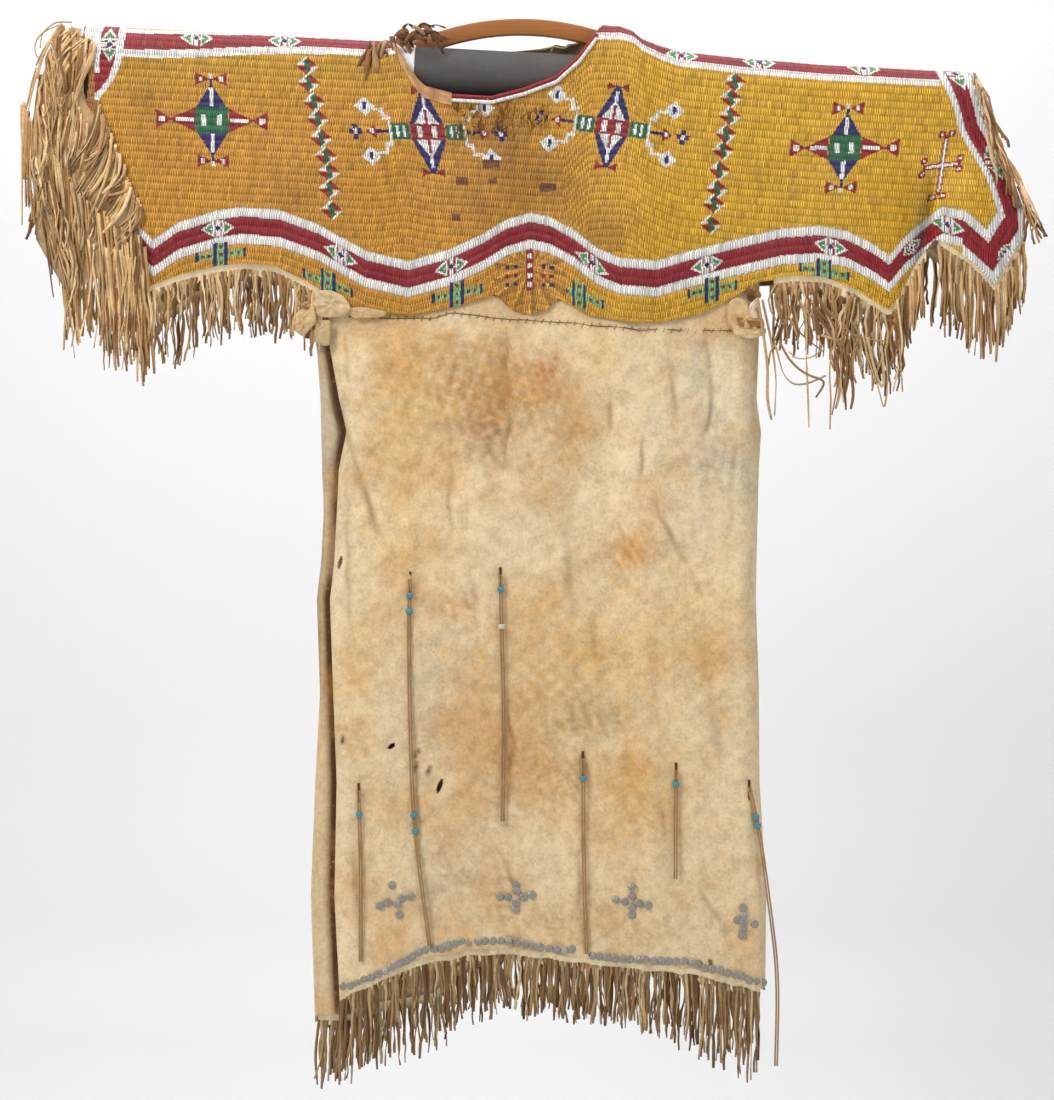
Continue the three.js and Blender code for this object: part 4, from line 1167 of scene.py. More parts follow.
def skirt_pixel_tint(points, front=True):
    """Stains of the hide, from soft spots charted in pixels, with painted shade along the creases, and
    painted shade and dark scars at the small rips.
    """
    px, py = photo_pixel(points)
    colour = np.tile(to_linear(SKIRT_CREAM), (len(px), 1))
    for cx, cy, rx, ry, tint, amount in STAINS:
        wobble = 1 + 0.45 * ripple(px, py, int(cx * 7 + cy), 38) + 0.2 * ripple(px, py, int(cx), 14)
        mask = spot(px, py, cx, cy, rx, ry, np.maximum(wobble, 0.2))
        patchy = np.clip(0.85 + 0.4 * ripple(px, py, int(cy) + 3, 9), 0.1, 1.5)
        colour = blend(colour, tint, np.clip(mask * patchy * amount, 0, 0.9))
    if front:
        wander = 1.6 * ripple(px, py, 91, 40)
        # Painted shade along each crease, darker where the crease is deeper.
        for number, (line, width, deep) in enumerate(CREASES):
            away, place = line_place(px + wander, py, line)
            dark = crease_strength(place, number) ** 1.5 * min(deep / 6, 0.75)
            colour = blend(colour, CREASE_SHADE_BROWN, dark * bump(away, width * 0.45))
        # Painted shade in the small rips, and the dark scars' own colour.
        for line, width in SMALL_RIPS:
            colour = blend(colour, RIP_SHADE_AND_SCAR_BROWN, bump(line_place(px, py, line)[0], width))
    return colour


# x, y, radius across and down in pixels, colour and strength
STAINS = [
    (470, 395, 100, 62, (206, 156, 92), 0.7), (500, 400, 60, 44, (176, 122, 68), 0.6),
    (490, 440, 20, 22, (140, 92, 52), 0.55), (440, 352, 34, 14, (196, 144, 82), 0.55),
    (545, 372, 18, 16, (190, 112, 56), 0.7), (556, 392, 14, 10, (196, 132, 70), 0.6),
    (575, 440, 22, 40, (190, 150, 98), 0.5), (402, 430, 40, 80, (226, 186, 118), 0.6),
    (632, 550, 30, 17, (214, 152, 78), 0.8), (705, 420, 46, 100, (214, 204, 178), 0.6),
    (722, 460, 26, 30, (150, 146, 142), 0.35), (460, 610, 26, 22, (204, 150, 84), 0.6),
    (560, 690, 70, 44, (212, 168, 98), 0.6), (600, 640, 60, 40, (226, 182, 108), 0.55),
    (590, 720, 44, 20, (150, 118, 66), 0.45), (505, 760, 40, 50, (196, 150, 100), 0.6),
    (452, 726, 24, 18, (186, 128, 70), 0.5), (430, 700, 50, 70, (212, 194, 160), 0.5),
    (560, 780, 34, 40, (208, 150, 72), 0.55), (640, 770, 26, 22, (214, 156, 80), 0.5),
    (650, 800, 50, 60, (222, 176, 104), 0.55), (455, 880, 34, 60, (208, 192, 160), 0.65),
    (505, 895, 24, 50, (196, 148, 84), 0.55), (560, 930, 40, 26, (206, 160, 96), 0.5),
    (632, 925, 60, 30, (206, 172, 118), 0.5), (700, 880, 40, 90, (226, 204, 160), 0.5),
    (380, 820, 44, 60, (226, 196, 144), 0.5), (440, 965, 60, 16, (190, 148, 96), 0.5),
    (345, 600, 14, 240, (238, 222, 186), 0.5), (352, 740, 20, 26, (206, 156, 90), 0.55),
    (350, 660, 26, 60, (240, 200, 130), 0.5), (400, 545, 40, 40, (240, 206, 140), 0.5),
    (700, 620, 40, 60, (232, 190, 120), 0.5), (520, 520, 60, 60, (232, 212, 172), 0.5),
    (600, 350, 30, 30, (240, 206, 140), 0.5),
]
# The same for the cuff; the narrow dark spot at 84, 70 is painted shade in the gap between the cuff and
# the beads, the others are stains.
CUFF_STAINS_AND_SHADE = [
    (90, 70, 9, 40, (168, 110, 60), 0.8), (84, 70, 5, 30, (60, 40, 26), 0.8),
    (68, 160, 12, 14, (222, 204, 168), 0.6), (120, 190, 18, 30, (186, 152, 100), 0.6),
    (60, 120, 10, 60, (190, 156, 108), 0.5),
]
# Small rips and dark scars of the skirt's front, painted dark: painted shade in the rips and the scars'
# own colour; points and width in pixels
SMALL_RIPS = [
    ([(419, 750), (415, 756)], 1.8), ([(417, 764), (414, 770)], 1.8), ([(430, 768), (427, 774)], 2.0),
    ([(583, 757), (583, 777)], 2.0), ([(711, 962), (711, 968)], 2.2), ([(343, 738), (342, 742)], 1.8),
]
# Creases of the skirt's front: two ends in pixels, width in pixels and depth in millimetres
# Each crease also gets painted shade along it, darker where it is deeper.
CREASES = [
    ([(505.7, 318), (509, 423), (501, 480)], 4.6, 5.0), ([(708, 326), (711, 407), (703, 450)], 5.0, 5.0),
    ([(443, 395), (452, 470), (446, 565)], 6.0, 2.6), ([(612, 385), (609, 445)], 6.0, 3.0),
    ([(645, 415), (641, 470), (640, 515)], 6.0, 3.2), ([(646, 492), (690, 570), (704, 600)], 6.0, 3.2),
    ([(345, 326), (348, 388)], 4.0, 3.2), ([(338, 390), (352, 455), (384, 552)], 8.0, 4.4),
    ([(560, 480), (575, 640)], 12.0, 2.4), ([(667, 335), (678, 435)], 7.0, 2.6),
    ([(620, 515), (624, 552)], 5.0, 2.2), ([(507, 685), (512, 745), (504, 838)], 5.0, 3.8),
    ([(576, 845), (586, 955)], 5.0, 2.8), ([(700, 620), (722, 780)], 12.0, 2.4),
    ([(412, 700), (420, 865)], 6.0, 2.4), ([(655, 778), (670, 855)], 5.0, 2.0),
    ([(350, 800), (362, 965)], 6.0, 2.8), ([(600, 860), (560, 940)], 9.0, 1.8),
    ([(696, 880), (738, 955)], 8.0, 2.4), ([(395, 902), (470, 883)], 6.0, 1.6),
    ([(485, 825), (522, 900)], 4.0, 1.6), ([(344, 390), (351, 700)], 6.0, 2.0),
    ([(455, 345), (450, 400)], 5.0, 1.8), ([(590, 590), (600, 700)], 8.0, 1.8),
    ([(470, 560), (478, 650)], 7.0, 1.6), ([(735, 420), (728, 560)], 8.0, 2.0),
]


def crease_strength(place, seed):
    """A crease fades towards its ends and is uneven between them."""
    return np.sin(math.pi * np.clip(place, 0, 1)) ** 0.7 * (0.85 + 0.25 * np.sin(place * 9 + seed))


def crease_depth(px, py):
    depth = 0
    wander = 1.6 * ripple(px, py, 91, 40)
    for number, (points, width, deep) in enumerate(CREASES):
        away, place = line_place(px + wander, py, points)
        deep = deep * crease_strength(place, number)
        depth = depth + deep * (bump(away, width) - 0.45 * bump(away, width * 2.2))
    return depth


def with_bands(values, centres, reach, count):
    """Sorted values with finer ones in a band round each centre."""
    fine = [np.linspace(c - reach, c + reach, count) for c in centres]
    coarse = [v for v in values if all(abs(v - c) > reach for c in centres)]
    return np.unique(np.concatenate([coarse, *fine]))


def front_frame(share):
    """Top and hem of the skirt's front at a share of its width."""
    left, right = along(SKIRT_SIDES, TOP_LEVEL, 2), along(SKIRT_SIDES, TOP_LEVEL, 3)
    top = np.minimum(front_low(left + share * (right - left)) + TUCK, HIGHEST_TOP)
    left, right = along(SKIRT_SIDES, HEM_LEVEL, 2), along(SKIRT_SIDES, HEM_LEVEL, 3)
    return top, along(HEM_FRONT, left + share * (right - left))


def skirt_front_grid(columns=172, rows=180):
    shares = np.concatenate([
        np.linspace(0, 0.06, 9)[:-1], np.linspace(0.06, 0.94, columns - 16),
        np.linspace(0.94, 1, 9)[1:],
    ])
    down = np.linspace(0, 1, rows)
    if rows > 20:
        shares = with_bands(shares, [rip_place(rip)[0] for rip in RIPS], 0.013, 12)
        down = with_bands(down, [rip_place(rip)[1] for rip in RIPS[:3]], 0.0135, 18)
    top, hem = front_frame(shares)
    hem = hem + 1.6 * ripple(shares * 600, 0 * shares, 5, 30)
    z = top[None, :] + (hem - top)[None, :] * down[:, None]
    left, right = along(SKIRT_SIDES, z, 2), along(SKIRT_SIDES, z, 3)
    x = left + shares[None, :] * (right - left)
    y = skirt_front_depth(x, z)
    px, py = photo_pixel(np.stack([x, y, z], axis=-1))
    calm = ease(-372, -400, z) * np.minimum(ease(0, 16, right - x), ease(0, 16, x - left))
    y = y - crease_depth(px, py) * calm
    y = y + (1.5 * ripple(x, z * 0.45, 21, 60) + 0.8 * ripple(x, z * 0.6, 22, 24)) * calm
    y = y - 1.0 * (1 - ease(0, 6, np.abs(py - 322))) * calm
    return np.stack([x, -y, z], axis=-1)


def rip_place(rip):
    """Share across and down the skirt's front at which a rip lies."""
    x, z = rip[:2]
    left, right = float(along(SKIRT_SIDES, z, 2)), float(along(SKIRT_SIDES, z, 3))
    share = (x - left) / (right - left)
    top, hem = front_frame(share)
    return share, (z - top) / (hem - top)


def drop_rips(points, faces):
    """Leaves out the faces that lie in a rip."""
    middle = points[faces].mean(axis=1)
    keep = np.ones(len(faces), bool)
    for x, z, width, height, tilt in RIPS:
        dx, dz = middle[:, 0] - x, middle[:, 2] - z
        u = dx * math.cos(tilt) - dz * math.sin(tilt)
        v = dx * math.sin(tilt) + dz * math.cos(tilt)
        ragged = 1 + 0.25 * np.sin(v * 1.7) + 0.15 * np.sin(v * 3.1 + u)
        inside = (2 * u / (width + 1)) ** 2 + (2 * v / (height + 1)) ** 2 < ragged
        keep &= ~(inside & (middle[:, 1] < -12))
    return faces[keep]


# Side line, offset from it and depth of the skirt's back in plan, round to the strip in front
BACK_PLAN = [
    ("right", 0, 0.3), ("right", -2, 9), ("right", -5, 15), ("right", -10, 21.5),
    ("right", -16, 26), ("right", -26, 30.5), ("right", -38, 32.3), ("right", -90, 32.3),
    ("right", -150, 32.3), ("right", -210, 32.3), ("right", -270, 32.3), ("outer", 275, 32.3),
    ("outer", 215, 32.3), ("outer", 155, 32.3), ("outer", 95, 32.3), ("outer", 40, 32.3),
    ("outer", 26, 30.2), ("outer", 16, 26), ("outer", 8, 20.5), ("outer", 3, 14), ("outer", 0.6, 7),
    ("outer", 0, 1), ("outer", 2, -5), ("outer", 5, -9), ("fold", -18, -11.6), ("fold", -14, -12.4),
    ("fold", -10, -12.8), ("fold", -6, -13), ("fold", -2, -13.2), ("fold", 2, -13.2),
    ("fold", 10, -13), ("fold", 20, -10),
]
SIDE_COLUMN = {"outer": 1, "fold": 2, "right": 3}
STRIP_TOP, STRIP_HEM = -352, -1304


def skirt_back_grid(rows=130):
    plan = []
    for (key0, dx0, y0), (key1, dx1, y1) in zip(BACK_PLAN[:-1], BACK_PLAN[1:]):
        wide = abs(dx1 - dx0) > 45 if key0 == key1 else y0 > 30
        pieces = 8 if wide else 1
        for k in range(pieces):
            plan.append((key0, dx0, y0, key1, dx1, y1, k / pieces))
    last = BACK_PLAN[-1]
    plan.append((*last, *last, 0.0))
    down = np.linspace(0, 1, rows)
    grid = np.zeros((rows, len(plan), 3))
    for i, (key0, dx0, y0, key1, dx1, y1, share) in enumerate(plan):

        def line(z):
            a = along(SKIRT_SIDES, z, SIDE_COLUMN[key0]) + dx0
            b = along(SKIRT_SIDES, z, SIDE_COLUMN[key1]) + dx1
            return a + (b - a) * share

        y = y0 + (y1 - y0) * share
        top, hem = STRIP_TOP, STRIP_HEM
        if y >= 0:
            top = min(float(back_low(line(TOP_LEVEL))) + TUCK, HIGHEST_TOP)
            hem = float(along(HEM_BACK, line(HEM_LEVEL)))
        z = top + (hem - top) * down
        x = line(z)
        flat = float(y > 30)
        wave = 1.4 * ripple(x, z * 0.45, 31, 60) + 0.8 * ripple(x, z * 0.6, 32, 24)
        grid[:, i, 0] = x
        grid[:, i, 1] = y + flat * (fold_depth(BACK_FOLDS, x, z) + ease(-390, -430, z) * wave)
        grid[:, i, 2] = z
    return grid


def cuff_depth(x, z):
    """How far in front of the middle plane the turned-back cuff lies."""
    table = sorted(CUFF_TURNBACK)
    left, right = along(table, z, 1), along(table, z, 2)
    share = np.clip((x - left) / (right - left), 0, 1)
    over = np.clip((z - rod_axis(x)) / 44, 0, 1)
    middle = np.sin(math.pi * share)
    swell = CUFF_SWELL * middle * ease(0, -60, z)
    edge = cloth_width(x) + EDGE_GAP + CUFF_LIFT * (1 - share)
    y = edge * np.sqrt(1 - over**2) + swell + PLAIN_HIDE
    folds = 2.6 * np.sin((x * 0.62 + z * 0.4) / 7.0) * ease(-90, -150, z) * ease(-300, -240, z)
    return y + (folds + 1.6 * ripple(x, z, 41, 24)) * middle


def cuff_grid(columns=40, rows=110):
    z = np.linspace(4, -335, rows)[:, None]
    table = sorted(CUFF_TURNBACK)
    left, right = along(table, z, 1), along(table, z, 2)
    x = left + np.linspace(0, 1, columns)[None, :] * (right - left)
    z = z + 0 * x
    return np.stack([x, -cuff_depth(x, z), z], axis=-1)


# Fringes


def resampled(path, count):
    """A line in the plane or in space, with that many points at equal steps along it."""
    path = np.asarray(path, float)
    run = np.concatenate([[0], np.cumsum(np.linalg.norm(np.diff(path, axis=0), axis=1))])
    places = np.linspace(0, run[-1], count)
    return np.stack([np.interp(places, run, column) for column in path.T], axis=1)


def ribbon(points, width, thickness, twist, turn):
    """Points and quads of a flat cut strand that twists as it falls."""
    count = len(points)
    share = np.linspace(0, 1, count)
    run = unit(np.gradient(points, axis=0))
    side = unit(np.cross(run, [0.0, 1.0, 0.0]))
    angle = (turn + twist * share)[:, None]
    across = side * np.cos(angle) + np.cross(run, side) * np.sin(angle)
    out = np.cross(run, across) * thickness / 2
    half = across * (width / 2 * np.where(share > 0.85, 1 - 1.6 * (share - 0.85), 1))[:, None]
    corners = [points + half + out, points + half - out, points - half - out, points - half + out]
    last = (count - 1) * 4
    ends = [(3, 2, 1, 0), (last, last + 1, last + 2, last + 3)]
    return np.stack(corners, axis=1).reshape(-1, 3), ring_faces(count, 4) + ends


STRAND_TONES = [
    (204, 172, 126), (182, 146, 98), (220, 194, 152), (156, 118, 74), (196, 162, 114), (128, 92, 56),
    (210, 184, 144), (172, 138, 96),
]


WARM = np.array([1.04, 1.0, 0.92])


def strand_tone(rng, darkest, lightest):
    tone = to_linear(STRAND_TONES[rng.randint(len(STRAND_TONES))])
    return tone * rng.uniform(darkest, lightest) * WARM


def add_fringe(key, path, count, length_at, side=-1, lean=0.0, curl=6.0, out=2.0, seed=1,
               strip=True, clear=0.0, light=1.2):
    """Cut strands in two layers that hang from a strip of hide along an edge, as one mesh.

    side is -1 in front. A strand's length comes from its root by length_at. lean, curl and out are
    how far it sways, bends and stands off, and clear is how far it leaves the cloth at its root.
    """
    rng = np.random.RandomState(seed)
    roots = resampled(path, max(count * 4, 8))
    pile = Pile()
    steps = 9
    t = np.linspace(0, 1, steps)
    for layer in range(2):
        for n in range(count):
            share = (n + 0.5 + rng.uniform(-0.4, 0.4) + 0.5 * layer) / (count + 0.5)
            root = roots[int(np.clip(share, 0, 1) * (len(roots) - 1))]
            length = length_at(root[0], root[2]) * rng.uniform(0.72, 1.08)
            sway = np.cumsum(rng.normal(0, 1, steps)) * curl / 6
            loop = curl * rng.uniform(-1, 1) * np.sin(t * math.pi * rng.uniform(0.8, 1.7))
            x = root[0] + lean * t * rng.uniform(0.5, 1.4) + (sway - sway[0]) * 0.8 + loop * 0.7
            depth = 1.4 + 1.3 * layer + out * ease(0, 0.7, t) + clear * ease(0, 0.1, t)
            depth = depth + 0.48 * np.cumsum(rng.normal(0, 1, steps))
            start = -5.5 if strip else 3.0
            z = root[2] + start - (length + start) * t
            points = np.stack([x, root[1] + side * depth, z], axis=1)
            wide = settings().strand_width * rng.uniform(0.6, 1.15)
            turns = rng.normal(0, 2.2), rng.normal(0, 0.5)
            strand = ribbon(points, wide, STRAND_THICKNESS, *turns)
            # The inner layer, nearer the cloth, is darkened with painted shade.
            tone = strand_tone(rng, 0.8, 1.3) * light * (1 if layer else 0.66)
            # Painted shade darkens each strand at its root; the strand is also darker towards its tip.
            root_shade_and_dark_tips = np.repeat(1 - 0.25 * (1 - ease(0, 0.12, t)) - 0.2 * ease(0.75, 1, t), 4)
            pile.add(*strand, tone * root_shade_and_dark_tips[:, None])
    if strip:
        line = resampled(path, max(int(count * 1.5), 8))
        low = line + [0, side * 1.4, -12.0]
        low[:, 2] += rng.uniform(-3.5, 2.5, len(line))
        grid = np.stack([line + [0, side * 0.7, 2.5], low])
        if side > 0:
            grid = grid[:, ::-1]
        if (grid[0, -1, 0] - grid[0, 0, 0]) * side > 0:
            grid = grid[:, ::-1]
        pile.add(*shell(grid, 1.4), to_linear(STRIP_CREAM))
    made = pile.make("strands_" + key, "fringe")
    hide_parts("fringe_" + key)


# start box and end box in pixels, number of strands and bend, of the strands that lie on the cuff
CUFF_STRANDS = [
    ((60, 24, 92, 40), (38, 60, 62, 86), 16, -10), ((66, 26, 95, 60), (40, 92, 74, 128), 22, -8),
    ((70, 34, 97, 44), (70, 84, 80, 112), 10, 2), ((36, 66, 60, 96), (24, 118, 60, 150), 12, -5),
    ((96, 100, 112, 135), (70, 160, 92, 196), 20, 8), ((108, 128, 130, 182), (82, 186, 112, 226), 22, 8),
    ((124, 176, 142, 206), (96, 216, 128, 256), 16, 8), ((22, 106, 52, 150), (30, 176, 62, 226), 20, -4),
    ((54, 150, 78, 190), (62, 226, 82, 262), 14, 3), ((66, 230, 142, 262), (64, 316, 140, 352), 26, 2),
    ((96, 206, 146, 252), (104, 306, 148, 362), 20, 4),
    ((128, 214, 146, 250), (140, 352, 154, 392), 7, 4),
    ((46, 84, 78, 118), (44, 150, 74, 196), 22, -4), ((34, 176, 62, 228), (52, 240, 76, 300), 24, 2),
    ((56, 220, 80, 250), (66, 290, 82, 348), 16, -2), ((66, 168, 96, 214), (72, 216, 96, 262), 14, 4),
    ((74, 96, 88, 128), (66, 150, 82, 178), 12, 4), ((24, 104, 36, 130), (22, 168, 36, 226), 12, -3),
]
# Strands that curl away from the rest: points in pixels and width in millimetres
LOOSE_STRANDS = [
    ([(60, 26), (48, 31), (38, 41), (36, 53), (40, 62), (47, 56)], 1.6),
    ([(72, 22), (56, 22), (44, 34), (42, 50)], 1.6),
    ([(757, 298), (764, 340), (768, 372), (766, 398), (771, 420)], 3.8),
    ([(762, 300), (772, 345), (776, 380), (774, 416)], 3.2),
    ([(775, 345), (782, 374), (792, 386), (808, 384), (825, 376)], 2.4),
    ([(779, 342), (788, 360), (800, 372), (812, 378), (826, 381), (815, 398)], 3.0),
    ([(776, 343), (770, 352), (768, 366)], 2.4), ([(790, 300), (796, 330), (810, 343), (822, 352)], 1.8),
    ([(788, 352), (796, 360), (812, 358), (822, 350), (816, 336)], 1.6),
    ([(806, 300), (805, 345), (807, 395), (808, 428)], 2.4), ([(800, 300), (806, 322), (806, 348)], 2.2),
    ([(862, 336), (866, 358), (874, 378), (880, 396), (883, 416), (886, 398), (887, 374),
      (884, 350)], 4.4),
    ([(866, 338), (872, 366), (880, 390), (884, 392), (882, 362), (880, 346)], 3.6),
    ([(832, 340), (828, 372), (830, 398), (829, 430)], 2.2),
    ([(838, 322), (852, 336), (866, 340), (884, 342)], 2.6),
    ([(846, 318), (856, 330), (858, 344), (850, 352)], 3.0),
    ([(820, 336), (838, 342), (846, 334), (838, 328)], 3.0),
    ([(896, 300), (902, 345), (896, 376), (892, 392)], 2.8), ([(898, 340), (900, 366), (902, 392)], 2.0),
]
BUNDLE_STRANDS = 26


def add_cuff_strands():
    """Strands that lie over the turned-back cuff and meet down its middle."""
    rng = np.random.RandomState(29)
    pile = Pile()
    table = sorted(CUFF_TURNBACK)
    t = np.linspace(0, 1, 10)
    for start, end, count, bend in CUFF_STRANDS:
        for n in range(count):
            share = (n + rng.uniform(0, 1)) / count
            px0 = start[0] + share * (start[2] - start[0])
            py0 = start[1] + share * (start[3] - start[1]) + rng.normal(0, 3)
            px1 = end[0] + np.clip(share + rng.normal(0, 0.12), 0, 1) * (end[2] - end[0])
            py1 = end[1] + rng.uniform(0, 1) * (end[3] - end[1])
            bow = bend * rng.uniform(0.4, 1.3) * np.sin(math.pi * t)
            wave = rng.uniform(0.5, 2.0) * np.sin(t * rng.uniform(5, 9) + rng.uniform(0, 6)) * t
            px = px0 + (px1 - px0) * t**1.2 + bow * 0.6 + wave * 0.7
            x, z = from_pixels(px, py0 + (py1 - py0) * t + bow * 0.15)
            z = np.minimum(z, 14)
            inside = np.clip(x, along(table, z, 1), along(table, z, 2))
            lift = rng.uniform(1.6, 5.5) - 0.25 * np.abs(x - inside)
            y = -(cuff_depth(inside, np.maximum(z, -335)) + lift)
            points = resampled(np.stack([x, np.maximum(y, -62), z], axis=1), 10)
            wide = settings().strand_width * rng.uniform(0.6, 1.1)
            turns = rng.normal(0, 1.6), rng.normal(0, 0.4)
            strand = ribbon(points, wide, STRAND_THICKNESS, *turns)
            pile.add(*strand, strand_tone(rng, 0.9, 1.55))
    pile.make("strands_over_cuff", "fringe")


def add_loose_strands():
    """Strands that curl away from the others, and the matted bundle below the right sleeve."""
    rng = np.random.RandomState(43)
    strands = [(np.array(points, float), wide) for points, wide in LOOSE_STRANDS]
    t = np.linspace(0, 1, 12)
    for n in range(BUNDLE_STRANDS):
        start, end = rng.uniform(812, 858), rng.uniform(830, 852)
        px = start + (end - start) * ease(0, 0.5, t) + 3.5 * np.sin(t * rng.uniform(6, 14) + n) * t
        py = 296 + rng.uniform(0, 12) + t * rng.uniform(50, 108)
        strands.append((np.stack([px, py], axis=1), rng.uniform(2.4, 4.4)))
    edge = np.array(front_edge_path(335, 500))
    pile = Pile()
    for points, wide in strands:
        flat = resampled(points, 18)
        for _ in range(2):
            flat[1:-1] = (flat[:-2] + flat[1:-1] + flat[2:]) / 3
        x, z = from_pixels(flat[:, 0], flat[:, 1])
        if x[0] < 0:
            y = -(cuff_depth(np.clip(x, -628, -489), z) + 9)
        else:
            y = np.interp(x, edge[:, 0], edge[:, 1]) - 7 - rng.uniform(0, 4)
            y = y + 2 * np.sin(np.linspace(0, 5, len(x)) + rng.uniform(0, 6))
        path = np.stack([x, y, z], axis=1)
        strand = ribbon(path, wide, 1.2, rng.normal(0, 2.0), rng.normal(0, 0.5))
        pile.add(*strand, strand_tone(rng, 0.8, 1.25))
    pile.make("strands_loose", "fringe")


def front_edge_path(start, end, step=6.0):
    """Points along the front's lower edge, on the cloth."""
    points = []
    for x in spaced(start, end, step):
        z = float(front_low(x))
        y = float(cloth_width(x)) + float(yoke_swell(x, z)) + SEAM_HALF_GAP
        points.append((x, -y, z))
    return points


def back_edge_path(start, end, step=6.0):
    """Points along the back's lower edge, on the cloth."""
    return [
        (x, float(cloth_width(x)) + SEAM_HALF_GAP, float(back_low(x)))
        for x in spaced(start, end, step)
    ]


def cuff_edge_path(rows, side):
    """Points along a sleeve's open edge, from its table."""
    points = []
    for x, z in rows:
        width = float(cloth_width(x))
        over = np.clip((z - float(rod_axis(x))) / width, 0, 1)
        y = width * math.sqrt(1 - over**2) + (float(yoke_swell(x, z)) if side < 0 else 0.0)
        points.append((x, side * y, z))
    return points


class DressSettings(bpy.types.PropertyGroup):
    """Sizes and colours that a user may change before the pieces are built."""

    strand_width: bpy.props.FloatProperty(
        name="Strand width", description="Width of a cut fringe strand, in millimetres",
        default=4.2, min=1.0, max=10.0,
    )
    string_step: bpy.props.FloatProperty(
        name="Bead string step", description="Distance between bead strings, in millimetres",
        default=STRING, min=1.0, max=4.0,
    )
    light_power: bpy.props.FloatProperty(
        name="Key light", description="Power of the large soft light, in watts",
        default=60.0, min=1.0, unit="POWER",
    )
    backdrop_colour: bpy.props.FloatVectorProperty(
        name="Backdrop", description="Colour of the wall and the light around it",
        default=(1.0, 1.0, 1.0), size=3, subtype="COLOR",
    )


def settings():
    return bpy.context.scene.dress_settings


class DRESS_OT_camera(bpy.types.Operator):
    """Makes the camera at the photograph's viewing angle"""

    bl_idname = "dress.camera"
    bl_label = "Camera"

    def execute(self, context):
        data = bpy.data.cameras.new("photo_camera")
        data.sensor_width = SENSOR
        data.lens = SENSOR * CAMERA_DISTANCE / (PHOTO_HEIGHT * PIXEL * MM)
        camera = bpy.data.objects.new("photo_camera", data)
        context.scene.collection.objects.link(camera)
        x, z = from_pixels(PHOTO_WIDTH / 2, PHOTO_HEIGHT / 2)
        camera.location = (x * MM, -CAMERA_DISTANCE - FRONT_DEPTH * MM, z * MM)
        camera.rotation_euler = (math.pi / 2, 0, 0)
        context.scene.camera = camera
        return {"FINISHED"}


def thong_route(name):
    points = []
    for k, (x, z) in enumerate(THONGS[name]):
        surface_depth = float(skirt_front_depth(min(x, THONG_SEAM_X), z))
        standoff = THONG_ROOT_STANDOFF.get(name, THONG_STANDOFF) if k == 0 else THONG_STANDOFF
        points.append((x, -(surface_depth + standoff), z))
    return np.array(points, float)


def rounded_route(points, rounds=3):
    """Corners cut away until the line is smooth; its ends stay."""
    points = np.asarray(points, float)
    for _ in range(rounds):
        cut = [points[0]]
        for a, b in zip(points[:-1], points[1:]):
            cut += [a * 0.75 + b * 0.25, a * 0.25 + b * 0.75]
        cut.append(points[-1])
        points = np.array(cut)
    return points


class DRESS_OT_thongs(bpy.types.Operator):
    """Makes the pairs of thongs and the glass beads on them"""

    bl_idname = "dress.thongs"
    bl_label = "Thongs and beads"

    def execute(self, context):
        beads = self.make_beads()
        for name in THONGS:
            self.make_thong(name, 1, -1, beads.get(name, []))
            self.make_thong(name, 2, 1, [])
        return {"FINISHED"}

    def make_thong(self, name, copy, sign, beads):
        route = rounded_route(thong_route(name))
        route = resampled(route, max(12, int(abs(route[-1, 2] - route[0, 2]) / 18)))
        route[:, 0] += sign * THONG_SPACING / 2
        pile = Pile()
        pile.add(*tube(route, THONG_RADIUS, 8), to_linear(THONG_BROWN))
        made = pile.make(f"thong_{name}_{copy}", "fringe")
        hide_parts(f"thong_{name}{copy}")

    def make_beads(self):
        """The glass beads, each a closed ring whose section is BEAD_PROFILE."""
        made_beads, count = {}, {}
        sides, size = 20, len(BEAD_PROFILE)
        total = sides * size
        for thong, z, colour in THONG_BEADS:
            count[thong] = count.get(thong, 0) + 1
            route = rounded_route(thong_route(thong))
            order = np.argsort(route[:, 2])
            x, y = (np.interp(z, route[order, 2], route[order, k]) for k in (0, 1))
            points = []
            for k in range(sides):
                angle = 2 * math.pi * k / sides
                for radius, up in BEAD_PROFILE:
                    points.append((x + radius * math.cos(angle), y + radius * math.sin(angle), z + up))
            faces = [(a, d % total, c % total, b) for a, b, c, d in ring_faces(sides + 1, size)]
            made = add_object(f"glass_bead_{thong}{count[thong]}", points, faces, colour)
            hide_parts(f"bead_{thong}{count[thong]}")
            made_beads.setdefault(thong, []).append(made)
        return made_beads


